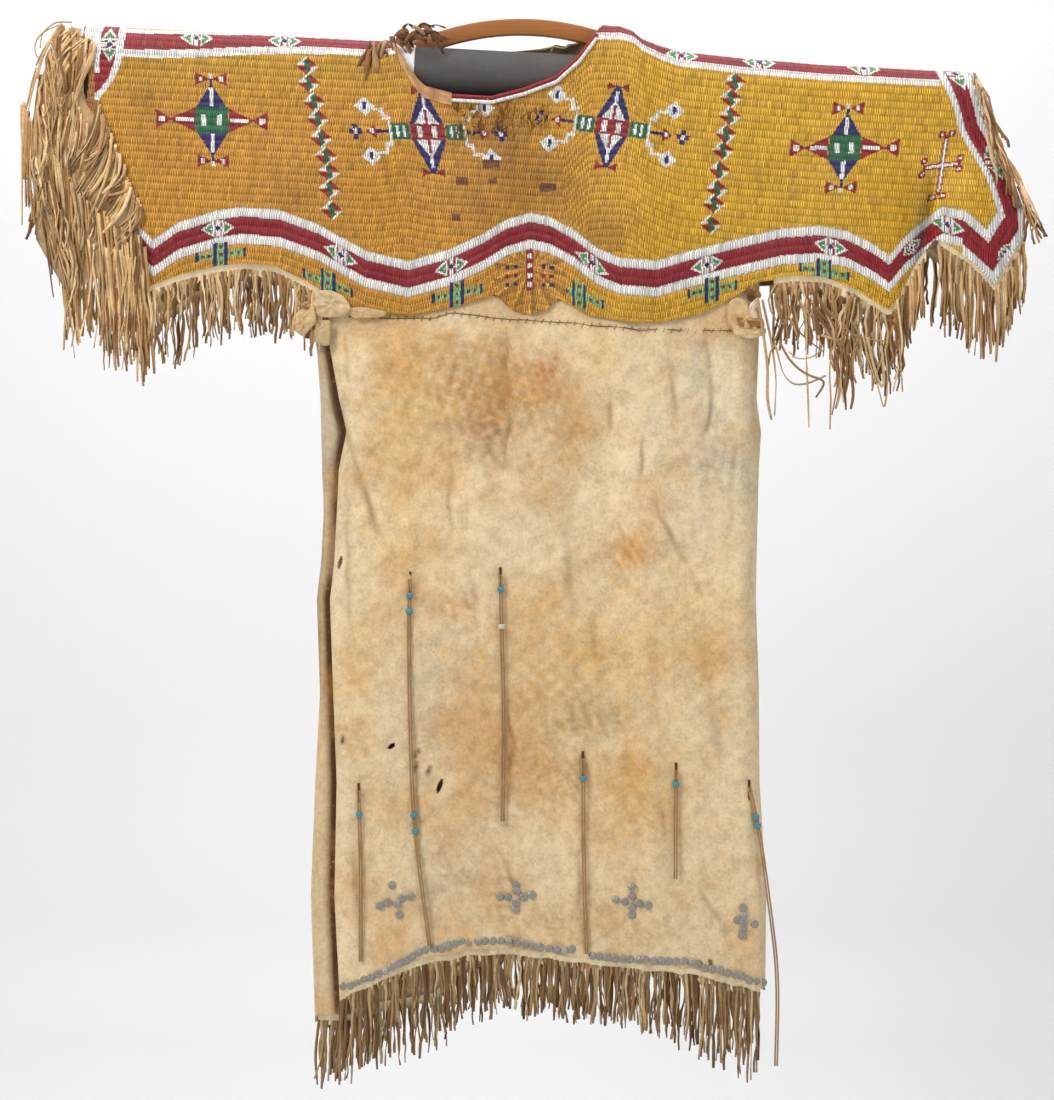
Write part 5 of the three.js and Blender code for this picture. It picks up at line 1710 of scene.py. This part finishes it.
class DRESS_OT_hanger(bpy.types.Operator):
    """Makes the padded rod, the bentwood handle and the white wraps"""

    bl_idname = "dress.hanger"
    bl_label = "Rod and handle"

    def execute(self, context):
        inside = np.linspace(ROD_LEFT + 3, ROD_RIGHT - 3, 120)
        xs = np.concatenate([[ROD_LEFT + 0.4, ROD_LEFT + 1], inside, [ROD_RIGHT - 1, ROD_RIGHT - 0.4]])
        radii = np.full(len(xs), ROD_RADIUS - 0.1)
        radii[[0, -1]] -= 3.0
        radii[[1, -2]] -= 1.2
        rod = self.on_rod("foam_rod", xs, radii, "foam")
        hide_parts("padded_rod")
        points, faces = self.bow()
        bow = add_object("bentwood_bow", points, faces, "wood")
        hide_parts("handle")
        for name, start, end in (("left", -167, -140), ("right", 140, 167)):
            xs = np.linspace(start, end, 22)
            radii = ROD_RADIUS + 1.2 + 0.45 * np.sin(xs * 1.9) + 0.3 * np.sin(xs * 4.3)
            wrap = self.on_rod("soft_wrap_" + name, xs, radii, "tape")
            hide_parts("rod_wrap_" + name)
        return {"FINISHED"}

    def on_rod(self, name, xs, radii, material):
        points, faces = tube(np.stack([xs, 0 * xs, rod_axis(xs)], axis=1), radii, 48)
        return add_object(name, points, faces, material)

    def bow(self):
        """Points and quads of the handle: a rounded section carried round its arc."""
        middle = HANDLE_INNER_RADIUS + HANDLE_HEIGHT / 2
        reach = math.asin(HANDLE_HALF_SPAN / middle)
        flat_y = HANDLE_THICKNESS / 2 - HANDLE_ROUNDING
        flat_z = HANDLE_HEIGHT / 2 - HANDLE_ROUNDING
        outline = []
        for cy, cz, start in ((1, 1, 0), (-1, 1, 90), (-1, -1, 180), (1, -1, 270)):
            for turn in (0, 30, 60, 90):
                a = math.radians(start + turn)
                outline.append((cy * flat_y + HANDLE_ROUNDING * math.cos(a),
                                cz * flat_z + HANDLE_ROUNDING * math.sin(a)))
        points = []
        for angle in np.linspace(-reach, reach, HANDLE_STEPS):
            for y, up in outline:
                out = middle + up
                points.append((out * math.sin(angle), y, out * math.cos(angle) - HANDLE_INNER_RADIUS))
        size = len(outline)
        faces = [(a, d, c, b) for a, b, c, d in ring_faces(HANDLE_STEPS, size)]
        last = (HANDLE_STEPS - 1) * size
        return points, faces + [tuple(range(size)), tuple(range(last, last + size))[::-1]]


class DRESS_OT_yoke(bpy.types.Operator):
    """Makes the yoke's hide and its bead lanes, front and back"""

    bl_idname = "dress.yoke"
    bl_label = "Beaded yoke"

    def execute(self, context):
        step = settings().string_step
        front = [
            bead_surface("beads_front_" + name, spaced(start, end, step), LANE / ROWS_IN_LANE, -1, 61)
            for name, start, end in (("left", -576, -160), ("middle", -160, 250), ("right", 250, 665))
        ]
        back = bead_surface("beads_back", spaced(665, -650, 2 * step), LANE / 4, 1, 67)
        for made in (*front, back):
            remove_loose(made)
        front_hide = lining("yoke_hide_front", -576, 665, -1, "yoke_front")
        back_hide = lining("yoke_hide_back", -650, 665, 1, "yoke_back")
        return {"FINISHED"}


class DRESS_OT_skirt(bpy.types.Operator):
    """Makes the skirt's front and back hides"""

    bl_idname = "dress.skirt"
    bl_label = "Skirt"

    def execute(self, context):
        grid = skirt_front_grid()
        points, faces = shell(grid, HIDE_THICKNESS)
        faces = drop_rips(points, faces)
        front = add_object("skirt_hide_front", points, faces, "hide")
        paint_points(front, "hide_colour", skirt_pixel_tint(points))
        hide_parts("skirt_front")
        grid = skirt_back_grid()
        points, faces = shell(grid, HIDE_THICKNESS)
        back = add_object("skirt_hide_back", points, faces, "hide")
        colour = skirt_pixel_tint(points * [-1, 1, 1], front=False)
        # Painted shadow on the strip: a dark band along its fold edge, where it turns in behind the front,
        # and painted shade over the strip, slight all over and deeper towards the fold.
        x, z = points[:, 0], points[:, 2]
        fold = along(SKIRT_SIDES, z, 2)
        width = 5 + 6 * bump(z + 500, 70) + 3 * ease(-690, -730, z)
        near = ease(fold - width - 4, fold - width + 3, x)
        dark = near * (points[:, 1] < 0) * np.maximum(ease(-380, -430, z) * ease(-690, -620, z),
                                                       ease(-700, -740, z) * ease(-1312, -1290, z))
        soft = (0.6 * ease(fold - 19, fold - 3, x) + 0.22) * (points[:, 1] < 0) * (x < fold + 2)
        colour = blend(blend(colour, (150, 108, 66), soft), (84, 50, 28), 0.95 * dark)
        paint_points(back, "hide_colour", colour)
        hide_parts("skirt_back")
        return {"FINISHED"}


class DRESS_OT_cuff(bpy.types.Operator):
    """Makes the left cuff, turned back to show its flesh side"""

    bl_idname = "dress.cuff"
    bl_label = "Turned-back cuff"

    def execute(self, context):
        grid = cuff_grid()
        points, faces = shell(grid, HIDE_THICKNESS)
        cuff = add_object("cuff_hide", points, faces, "hide")
        px, py = photo_pixel(points)
        colour = np.tile(to_linear(CUFF_CREAM), (len(px), 1))
        # Stains, and painted shade in the gap between the cuff and the beads.
        for *place, tint, amount in CUFF_STAINS_AND_SHADE:
            colour = blend(colour, tint, spot(px, py, *place) * amount)
        paint_points(cuff, "hide_colour", colour)
        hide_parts("cuff_turnback")
        return {"FINISHED"}


class DRESS_OT_fringes(bpy.types.Operator):
    """Makes every cut fringe"""

    bl_idname = "dress.fringes"
    bl_label = "Fringes"

    def execute(self, context):
        add_fringe("sleeve_left", front_edge_path(-488, -262), 40,
                   lambda x, z: 66 if x < -420 else 84, curl=7, seed=3)
        add_fringe("sleeve_right", front_edge_path(335, 500), 34,
                   lambda x, z: 112 if x > 440 else 84, curl=15, seed=5)
        add_fringe("sleeve_fold", front_edge_path(504, 536), 8, lambda x, z: 84, curl=4, out=-2,
                   seed=7)
        add_fringe("sleeve_flap", front_edge_path(549, 664), 34,
                   lambda x, z: 112 - abs(x - 590) * 0.35, curl=5, seed=9)
        edge = cuff_edge_path([r for r in RIGHT_CUFF if -245 < r[1] < -55], -1)
        add_fringe("cuff_right", [(x + 2, y, z) for x, y, z in edge], 26,
                   lambda x, z: 84 if z > -200 else 60, lean=22, curl=9, out=4, clear=10, seed=11,
                   strip=False)
        edge = cuff_edge_path([r for r in LEFT_CUFF_BACK if -245 < r[1] < -30][::-1], 1)
        add_fringe("cuff_back", edge, 20, lambda x, z: 76, side=1, lean=-14, curl=7, out=4,
                   clear=8, seed=13, strip=False)
        add_fringe("back_left", back_edge_path(-608, -262), 44, lambda x, z: 84, side=1, curl=7,
                   seed=15)
        add_fringe("back_right", back_edge_path(335, 623), 40, lambda x, z: 94, side=1, curl=7,
                   seed=17)
        grid = cuff_grid(9, 30)
        add_fringe("cuff_left", grid[:26, 0] + [1.5, -1.0, 0], 44, lambda x, z: 92, lean=8, curl=12,
                   out=4, clear=6, seed=19, strip=False)
        add_cuff_strands()
        add_loose_strands()
        add_fringe("cuff_low", grid[-1], 15, lambda x, z: 108, lean=4, curl=7, seed=21)
        front = skirt_front_grid(60, 3)[-1]
        add_fringe("hem_front", front[front[:, 1] < -20], 104,
                   lambda x, z: 84 + 26 * ease(-140, -230, x) + 40 * ease(150, 300, x), seed=23,
                   light=0.84)
        back = skirt_back_grid(3)[-1]
        add_fringe("hem_back", back[back[:, 1] > 20], 84, lambda x, z: 84, side=1, seed=25,
                   light=0.84)
        add_fringe("hem_strip", back[back[:, 1] < -5], 8, lambda x, z: 90, lean=-6, curl=5,
                   seed=27, light=0.84)
        return {"FINISHED"}


def neck_point(x, down):
    """A point on the yoke's front, a given length below the neck's edge."""
    _, ends = yoke_surface([x], np.array([0.0, LONGEST]), -1)
    return yoke_surface([x], np.array([ends[0, 0] + down]), -1)[0][0, 0]


class DRESS_OT_neck(bpy.types.Operator):
    """Makes the bead binding of the neck, its bare left edge and the torn hide beside it"""

    bl_idname = "dress.neck"
    bl_label = "Neck"

    def execute(self, context):
        pile = Pile()
        rng = np.random.RandomState(71)
        for down, tone in ((2.6, BEAD_RED), (8.4, BEAD_WHITE)):
            xs = np.concatenate([spaced(-90, 60, 1.9), spaced(60, 101, 1.0)[1:]])
            path = resampled(np.array([neck_point(x, down) for x in xs]) + [0, -2.0, 0], 150)
            shade = np.repeat(rng.uniform(0.7, 1.15, len(path)), 8)
            pile.add(*tube(path, 2.7, 8), to_linear(tone) * shade[:, None])
        edging = pile.make("neck_bead_rolls", "beads")
        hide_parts("neck_edging")
        self.bare_edge()
        self.torn_hide()
        self.loose_strings()
        return {"FINISHED"}

    def bare_edge(self):
        """Raw hide along the left of the neck, where the beads are lost."""
        xs = np.array([-164, -160, -155, -149, -142, -134, -125, -114, -102, -90])
        grid = np.array([
            [neck_point(x, max(down, 0)) + [0, -2.2, -min(down, 0)] for x in xs]
            for down in np.linspace(-1.5, 15, 6)
        ])
        grid[:, :, 1] -= 0.8 * ripple(grid[:, :, 0], grid[:, :, 2], 73, 14)
        points, faces = shell(grid, 1.5)
        shade = 0.85 + 0.2 * ripple(points[:, 0], points[:, 2], 74, 16)
        pile = Pile()
        pile.add(points, faces, to_linear((214, 162, 112)) * shade[:, None])
        pile.make("neck_bare_hide", "raw")

    def torn_hide(self):
        """Twisted scraps of torn hide over the left end of the neck opening."""
        rng = np.random.RandomState(75)
        pile = Pile()
        t = np.linspace(0, 1, 7)
        tones = [(150, 104, 62), (118, 76, 44), (184, 146, 98), (92, 60, 38)]
        for _ in range(46):
            px = rng.uniform(366, 428)
            py = 50 - (px - 366) * 0.42 + rng.normal(0, 4.5)
            depth = rng.uniform(24, 34)
            x, z = from_pixels(px, py)
            length = rng.uniform(14, 36)
            angle = rng.uniform(-0.9, 1.2) if px > 395 else rng.uniform(-2.2, -0.6)
            x = x + length * t * math.cos(angle) + rng.uniform(-14, 14) * t * t * 0.4
            z = np.minimum(z + length * t * math.sin(angle) - 10 * t * t, 12 - 6 * t)
            y = np.maximum(rng.normal(0, 2) - depth - 4 * np.sin(t * math.pi), -46)
            points = np.stack([x, y, z], axis=1)
            scrap = ribbon(points, rng.uniform(4, 9), 1.4, rng.normal(0, 2.5), rng.normal(0, 1))
            pile.add(*scrap, to_linear(tones[rng.randint(4)]))
        pile.make("neck_torn_hide", "raw")

    def loose_strings(self):
        """Bead strings that came loose below the neck."""
        rng = np.random.RandomState(77)
        pile = Pile()
        t = np.linspace(0, 1, 6)
        tones = [OCHRE_LEFT, OCHRE_TOP, (150, 100, 40), (120, 76, 34)]
        for _ in range(52):
            px = rng.uniform(455, 548)
            py = rng.uniform(96, 128) if px < 520 else rng.uniform(98, 122)
            x, z = from_pixels(px, py)
            z = z - rng.uniform(6, 17) * t
            x = x + rng.normal(0, 3) * t + rng.normal(0, 2) * np.sin(t * math.pi)
            y = -(cloth_width(x) + yoke_swell(x, z)) - 1.2 - 2.5 * np.sin(t * math.pi)
            shade = rng.uniform(0.7, 1.1)
            string = tube(np.stack([x, y, z], axis=1), 0.95, 6)
            pile.add(*string, to_linear(tones[rng.randint(4)]) * shade)
        pile.make("loose_bead_strings", "beads")


# middle, outline, bulge, lift and colour of each lobe of knotted hide, in pixels and millimetres; the
# darkest lobes are painted shade in the knot's openings
TIE_LOBES_AND_SHADE = {
    "left": [
        ((331, 304), [(308, 301), (317, 291), (330, 290), (344, 296), (352, 308), (346, 316), (332, 318),
                      (317, 317), (308, 311)], 3.0, 0.0, (214, 188, 144)),
        ((302, 321), [(289, 322), (301, 310), (314, 303), (317, 322), (304, 338), (295, 331)], 2.2, 3.2,
         (216, 190, 144)),
        ((318, 332), [(306, 337), (315, 321), (331, 320), (330, 346), (322, 346)], 1.4, 0.2,
         (204, 178, 134)),
        ((362, 314), [(342, 308), (364, 307), (388, 312), (384, 317), (354, 319)], 1.2, 0.4,
         (212, 184, 138)),
        ((335, 309), [(332.5, 303), (337, 304), (337, 314), (333, 315)], 0.8, 3.4, (98, 66, 38)),
        ((306, 308), [(301, 304), (309, 301), (312, 309), (304, 313)], 1.8, 4.4, (176, 142, 98)),
        ((306, 308), [(304, 306), (308, 304), (309, 309), (305, 311)], 0.4, 6.2, (70, 46, 30)),
        ((309, 333), [(305, 337), (314, 325), (316, 327), (308, 339)], 0.5, 3.0, (92, 60, 36)),
    ],
    "right": [
        ((745, 318), [(727, 304), (736, 296), (747, 301), (751, 312), (764, 318), (765, 330), (752, 336),
                      (736, 333), (727, 322)], 3.4, 0.0, (214, 188, 142)),
        ((750, 324), [(735, 312), (742, 318), (752, 321), (763, 321), (760, 328), (748, 329), (738, 324)],
         0.5, 3.6, (96, 64, 40)),
        ((750, 332), [(731, 322), (741, 328), (752, 331), (766, 327), (766, 335), (750, 339), (734, 335)],
         2.2, 3.2, (230, 208, 164)),
        ((753, 294), [(746, 288), (756, 284), (762, 296), (755, 303), (747, 300)], 0.5, 1.4, (50, 32, 22)),
        ((754, 308), [(749, 305), (756, 298), (761, 303), (756, 310), (759, 319), (752, 318), (749, 311)],
         1.6, 4.0, (234, 224, 202)),
    ],
}


class DRESS_OT_ties(bpy.types.Operator):
    """Makes the knotted hide at each armpit, with dark lobes of painted shade in its openings"""

    bl_idname = "dress.ties"
    bl_label = "Armpit ties"

    def execute(self, context):
        for side, lobes in TIE_LOBES_AND_SHADE.items():
            pile = Pile()
            for number, (middle, outline, bulge, lift, tone) in enumerate(lobes):
                points, faces = self.lobe(middle, outline, bulge, lift, number)
                uneven = 1 + 0.08 * ripple(points[:, 0], points[:, 2], 93 + number, 9)
                pile.add(points, faces, to_linear(tone) * uneven[:, None])
            made = pile.make("tie_" + side, "hide")
            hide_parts("armpit_tie_" + side)
        return {"FINISHED"}

    def lobe(self, middle, outline, bulge, lift, number):
        """A soft folded lobe of hide on the yoke's lower edge, bulging forward."""
        around, rings = 48, 10
        loop = [from_pixels(px, py) for px, py in outline]
        loop = resampled(loop + loop[:1], around + 1)[:-1]
        for _ in range(2):
            loop = (loop + np.roll(loop, 1, 0) + np.roll(loop, -1, 0)) / 3
        cx, cz = from_pixels(*middle)
        under = max(float(yoke_swell(x, z)) for x, z in loop)
        base = float(cloth_width(cx)) + under + 2.2 + lift
        turn = np.arange(around) * 2 * math.pi / around
        front = []
        for share in np.linspace(0, 1, rings):
            fold = 1.8 * np.sin(turn * 3 + share * 5 + number) + 1.1 * np.sin(turn * 7 - share * 4)
            rise = bulge * max(math.cos(share * math.pi / 2), 0) ** 0.7
            rise = rise + fold * share * (1 - share) * min(bulge, 2.4)
            x, z = cx + (loop[:, 0] - cx) * share, cz + (loop[:, 1] - cz) * share
            front.append(np.stack([x, -(base + rise), z], axis=1))
        front = np.concatenate(front)
        back = np.copy(front)
        back[:, 1] = -(base - 1.6)
        count = len(front)
        faces = ring_faces(rings, around)
        behind = [tuple(v + count for v in face)[::-1] for face in faces]
        edge = np.arange(count - around, count)
        rim = [(a, b, b + count, a + count) for a, b in zip(edge, np.roll(edge, -1))]
        return np.concatenate([front, back]), faces + behind + rim


# The sewn line across the top of the skirt, in pixels
SEAM = [
    (349, 316), (380, 317), (430, 318.5), (452, 313), (500, 319), (560, 322), (640, 330),
    (728, 330.5), (757, 333),
]


class DRESS_OT_sewing(bpy.types.Operator):
    """Makes the seam's stitches and, as dark strips of painted shade, the slits that the thongs come out
    of
    """

    bl_idname = "dress.sewing"
    bl_label = "Stitches and slits"

    def execute(self, context):
        rng = np.random.RandomState(37)
        pile = Pile()
        line = resampled(SEAM, int(line_length(SEAM) / 4))
        px, py = line[:, 0], line[:, 1]
        crease = self.on_skirt(px, py + 0.5 * ripple(px, py, 5, 30), 0.5)
        worn = np.clip(0.5 + 0.5 * ripple(px, py, 17, 22), 0, 1)[:, None]
        tone = to_linear((158, 122, 82)) * worn + to_linear((84, 56, 34)) * (1 - worn)
        pile.add(*tube(crease, 0.6, 6), np.repeat(tone, 6, axis=0))
        for x, y in line[::2]:
            slant = rng.uniform(0.6, 1.6)
            xs = np.array([x - slant, x, x + slant])
            ys = np.array([y + 2.2, y, y - 2.2]) + rng.normal(0, 0.3)
            tone = to_linear((178, 144, 98)) * rng.uniform(0.6, 1.1)
            pile.add(*tube(self.on_skirt(xs, ys, 1.2), 0.55, 6), tone)
        # A dark strip of painted shade for the slit at each thong's root.
        for route in THONGS.values():
            x, z = route[0]
            px, py = HANG_X + x / PIXEL, HANG_Y - z / PIXEL
            t = np.linspace(0, 1, 9)
            path = self.on_skirt(px + 0 * t, py - 7 + 20 * t, 0.4)
            pile.add(*ribbon(path, 3.4, 0.7, 0.0, 0.0), to_linear((92, 62, 38)))
        pile.make("stitches", "fringe")
        return {"FINISHED"}

    def on_skirt(self, px, py, lift):
        """Points on the skirt's front at places in the photograph."""
        x, z = from_pixels(px, py)
        inside = np.minimum(x, along(SKIRT_SIDES, z, 3) - 6)
        return np.stack([x, -(skirt_front_depth(inside, z) + lift), z], axis=1)


DISC_ROWS = [
    [(342.8, 987.5), (349, 987), (372.5, 976.6), (393.8, 967), (420, 951.6), (437.5, 948.4),
     (462.5, 942), (487.5, 940.6), (515.6, 942)],
    [(525, 945), (537.5, 947.5), (550, 948.4), (562.5, 950.6), (571.9, 950)],
    [(592, 956), (612.5, 958.8), (643.8, 959.4), (675, 961), (693.8, 961.9), (706, 968.8),
     (725, 971), (740.6, 976.6), (753, 981), (764, 984.4)],
]
DISC_CROSSES = [
    (379.7, 906), (387.5, 902.5), (396.9, 903.8), (401.6, 898.8), (410, 896), (392, 885),
    (399.4, 915), (500, 897), (508.8, 897.5), (516, 885), (516.6, 890.6), (523.4, 897.5),
    (532, 895), (516, 903), (516, 909), (616, 899), (625, 901.6), (639, 902.5), (647.8, 904.7),
    (632, 886.6), (632, 896), (632, 907), (632, 915), (737.5, 920.6), (743.8, 922.5), (755, 924.4),
    (743, 907.8), (743.8, 915.6), (743, 929.7), (742.5, 936),
]
DISC_STEP = 7.6
DISC_RADIUS, DISC_DOME = 5.5, 1.1


class DRESS_OT_discs(bpy.types.Operator):
    """Makes the small tin discs on the skirt"""

    bl_idname = "dress.discs"
    bl_label = "Tin discs"

    def execute(self, context):
        rng = np.random.RandomState(81)
        places = []
        for row in DISC_ROWS:
            line = resampled(row, int(line_length(row) / DISC_STEP) + 1)
            places += [(x, y + rng.normal(0, 0.5)) for x, y in line]
        pile = Pile()
        for px, py in places + DISC_CROSSES:
            pile.add(*self.disc(px, py, rng))
        pile.make("tin_discs", "tin")
        return {"FINISHED"}

    def disc(self, px, py, rng):
        """A domed disc with a groove across its middle."""
        x0, z0 = from_pixels(px, py)
        y0 = -float(skirt_front_depth(x0, z0)) - 1.6 - rng.uniform(0, 1.0)
        sides = 18
        rings = [(1.4, 1.05), (3.2, 0.9), (4.7, 0.6), (DISC_RADIUS, 0.0)]
        lean, tip = rng.normal(0, 0.14), rng.normal(0, 0.14)
        points = []
        for radius, dome in rings:
            for k in range(sides):
                a = 2 * math.pi * k / sides
                dx, dz = radius * math.cos(a), radius * math.sin(a)
                groove = 0.5 if abs(dx) < 0.9 and radius < 4 else 0.0
                points.append((x0 + dx, y0 - dome + groove + lean * dx + tip * dz, z0 + dz))
        points.append((x0, y0 - DISC_DOME, z0))
        centre = len(points) - 1
        faces = [(centre, (k + 1) % sides, k) for k in range(sides)]
        return points, faces + ring_faces(len(rings), sides)


class DRESS_OT_stage(bpy.types.Operator):
    """Makes the pale floor and wall and the soft studio light"""

    bl_idname = "dress.stage"
    bl_label = "Stage"

    def execute(self, context):
        wide, tall, deep = 9.0, 5.0, 2.2
        floor_z = -1.75
        outline = [(-6.0, floor_z), (deep - 0.6, floor_z), (deep - 0.25, floor_z + 0.08),
                   (deep - 0.05, floor_z + 0.3), (deep, floor_z + 0.7), (deep, floor_z + tall)]
        points, faces = [], []
        for y, z in outline:
            points += [(-wide / 2, y, z), (wide / 2, y, z)]
        for k in range(len(outline) - 1):
            faces.append((2 * k, 2 * k + 1, 2 * k + 3, 2 * k + 2))
        sweep = add_object("floor", np.array(points) / MM, faces, "floor", body=None)
        world = context.scene.world or bpy.data.worlds.new("studio")
        context.scene.world = world
        world.use_nodes = True
        background = world.node_tree.nodes["Background"]
        background.inputs["Color"].default_value = (*settings().backdrop_colour, 1)
        background.inputs["Strength"].default_value = 0.31
        context.scene.view_settings.view_transform = "Standard"
        for name, place, size, power in (
            ("key_light", (-2.1, -2.5, 1.2), 1.3, settings().light_power),
            ("fill_light", (2.2, -2.8, -0.2), 2.4, settings().light_power * 0.3),
            ("wall_light", (0.0, 0.6, 1.4), 3.0, settings().light_power * 0.85),
        ):
            data = bpy.data.lights.new(name, "AREA")
            data.size = size
            data.energy = power
            lamp = bpy.data.objects.new(name, data)
            lamp.location = place
            target = Vector((0, 2.2, -0.5)) if name == "wall_light" else Vector((0, 0, -0.6))
            lamp.rotation_euler = (target - Vector(place)).to_track_quat("-Z", "Y").to_euler()
            context.scene.collection.objects.link(lamp)
        return {"FINISHED"}


OPERATORS = [
    DRESS_OT_camera, DRESS_OT_thongs, DRESS_OT_hanger, DRESS_OT_yoke, DRESS_OT_skirt, DRESS_OT_cuff,
    DRESS_OT_fringes, DRESS_OT_neck, DRESS_OT_ties, DRESS_OT_sewing, DRESS_OT_discs, DRESS_OT_stage,
]


class DRESS_PT_panel(bpy.types.Panel):
    """Lists the settings and the pieces of the dress"""

    bl_idname = "DRESS_PT_panel"
    bl_label = "Dress"
    bl_space_type = "VIEW_3D"
    bl_region_type = "UI"
    bl_category = "Dress"

    def draw(self, context):
        values = context.scene.dress_settings
        for name in ("strand_width", "string_step", "light_power", "backdrop_colour"):
            self.layout.prop(values, name)
        for operator in OPERATORS:
            self.layout.operator(operator.bl_idname)


CLASSES = [DressSettings, *OPERATORS, DRESS_PT_panel]


def register():
    for cls in CLASSES:
        bpy.utils.register_class(cls)
    bpy.types.Scene.dress_settings = bpy.props.PointerProperty(type=DressSettings)


def unregister():
    del bpy.types.Scene.dress_settings
    for cls in reversed(CLASSES):
        bpy.utils.unregister_class(cls)


def main():
    """Builds every piece in order."""
    register()
    make_materials()
    bpy.ops.dress.camera()
    bpy.ops.dress.thongs()
    bpy.ops.dress.hanger()
    bpy.ops.dress.yoke()
    bpy.ops.dress.skirt()
    bpy.ops.dress.cuff()
    bpy.ops.dress.fringes()
    bpy.ops.dress.neck()
    bpy.ops.dress.ties()
    bpy.ops.dress.sewing()
    bpy.ops.dress.discs()
    bpy.ops.dress.stage()


if __name__ == "__main__":
    main()
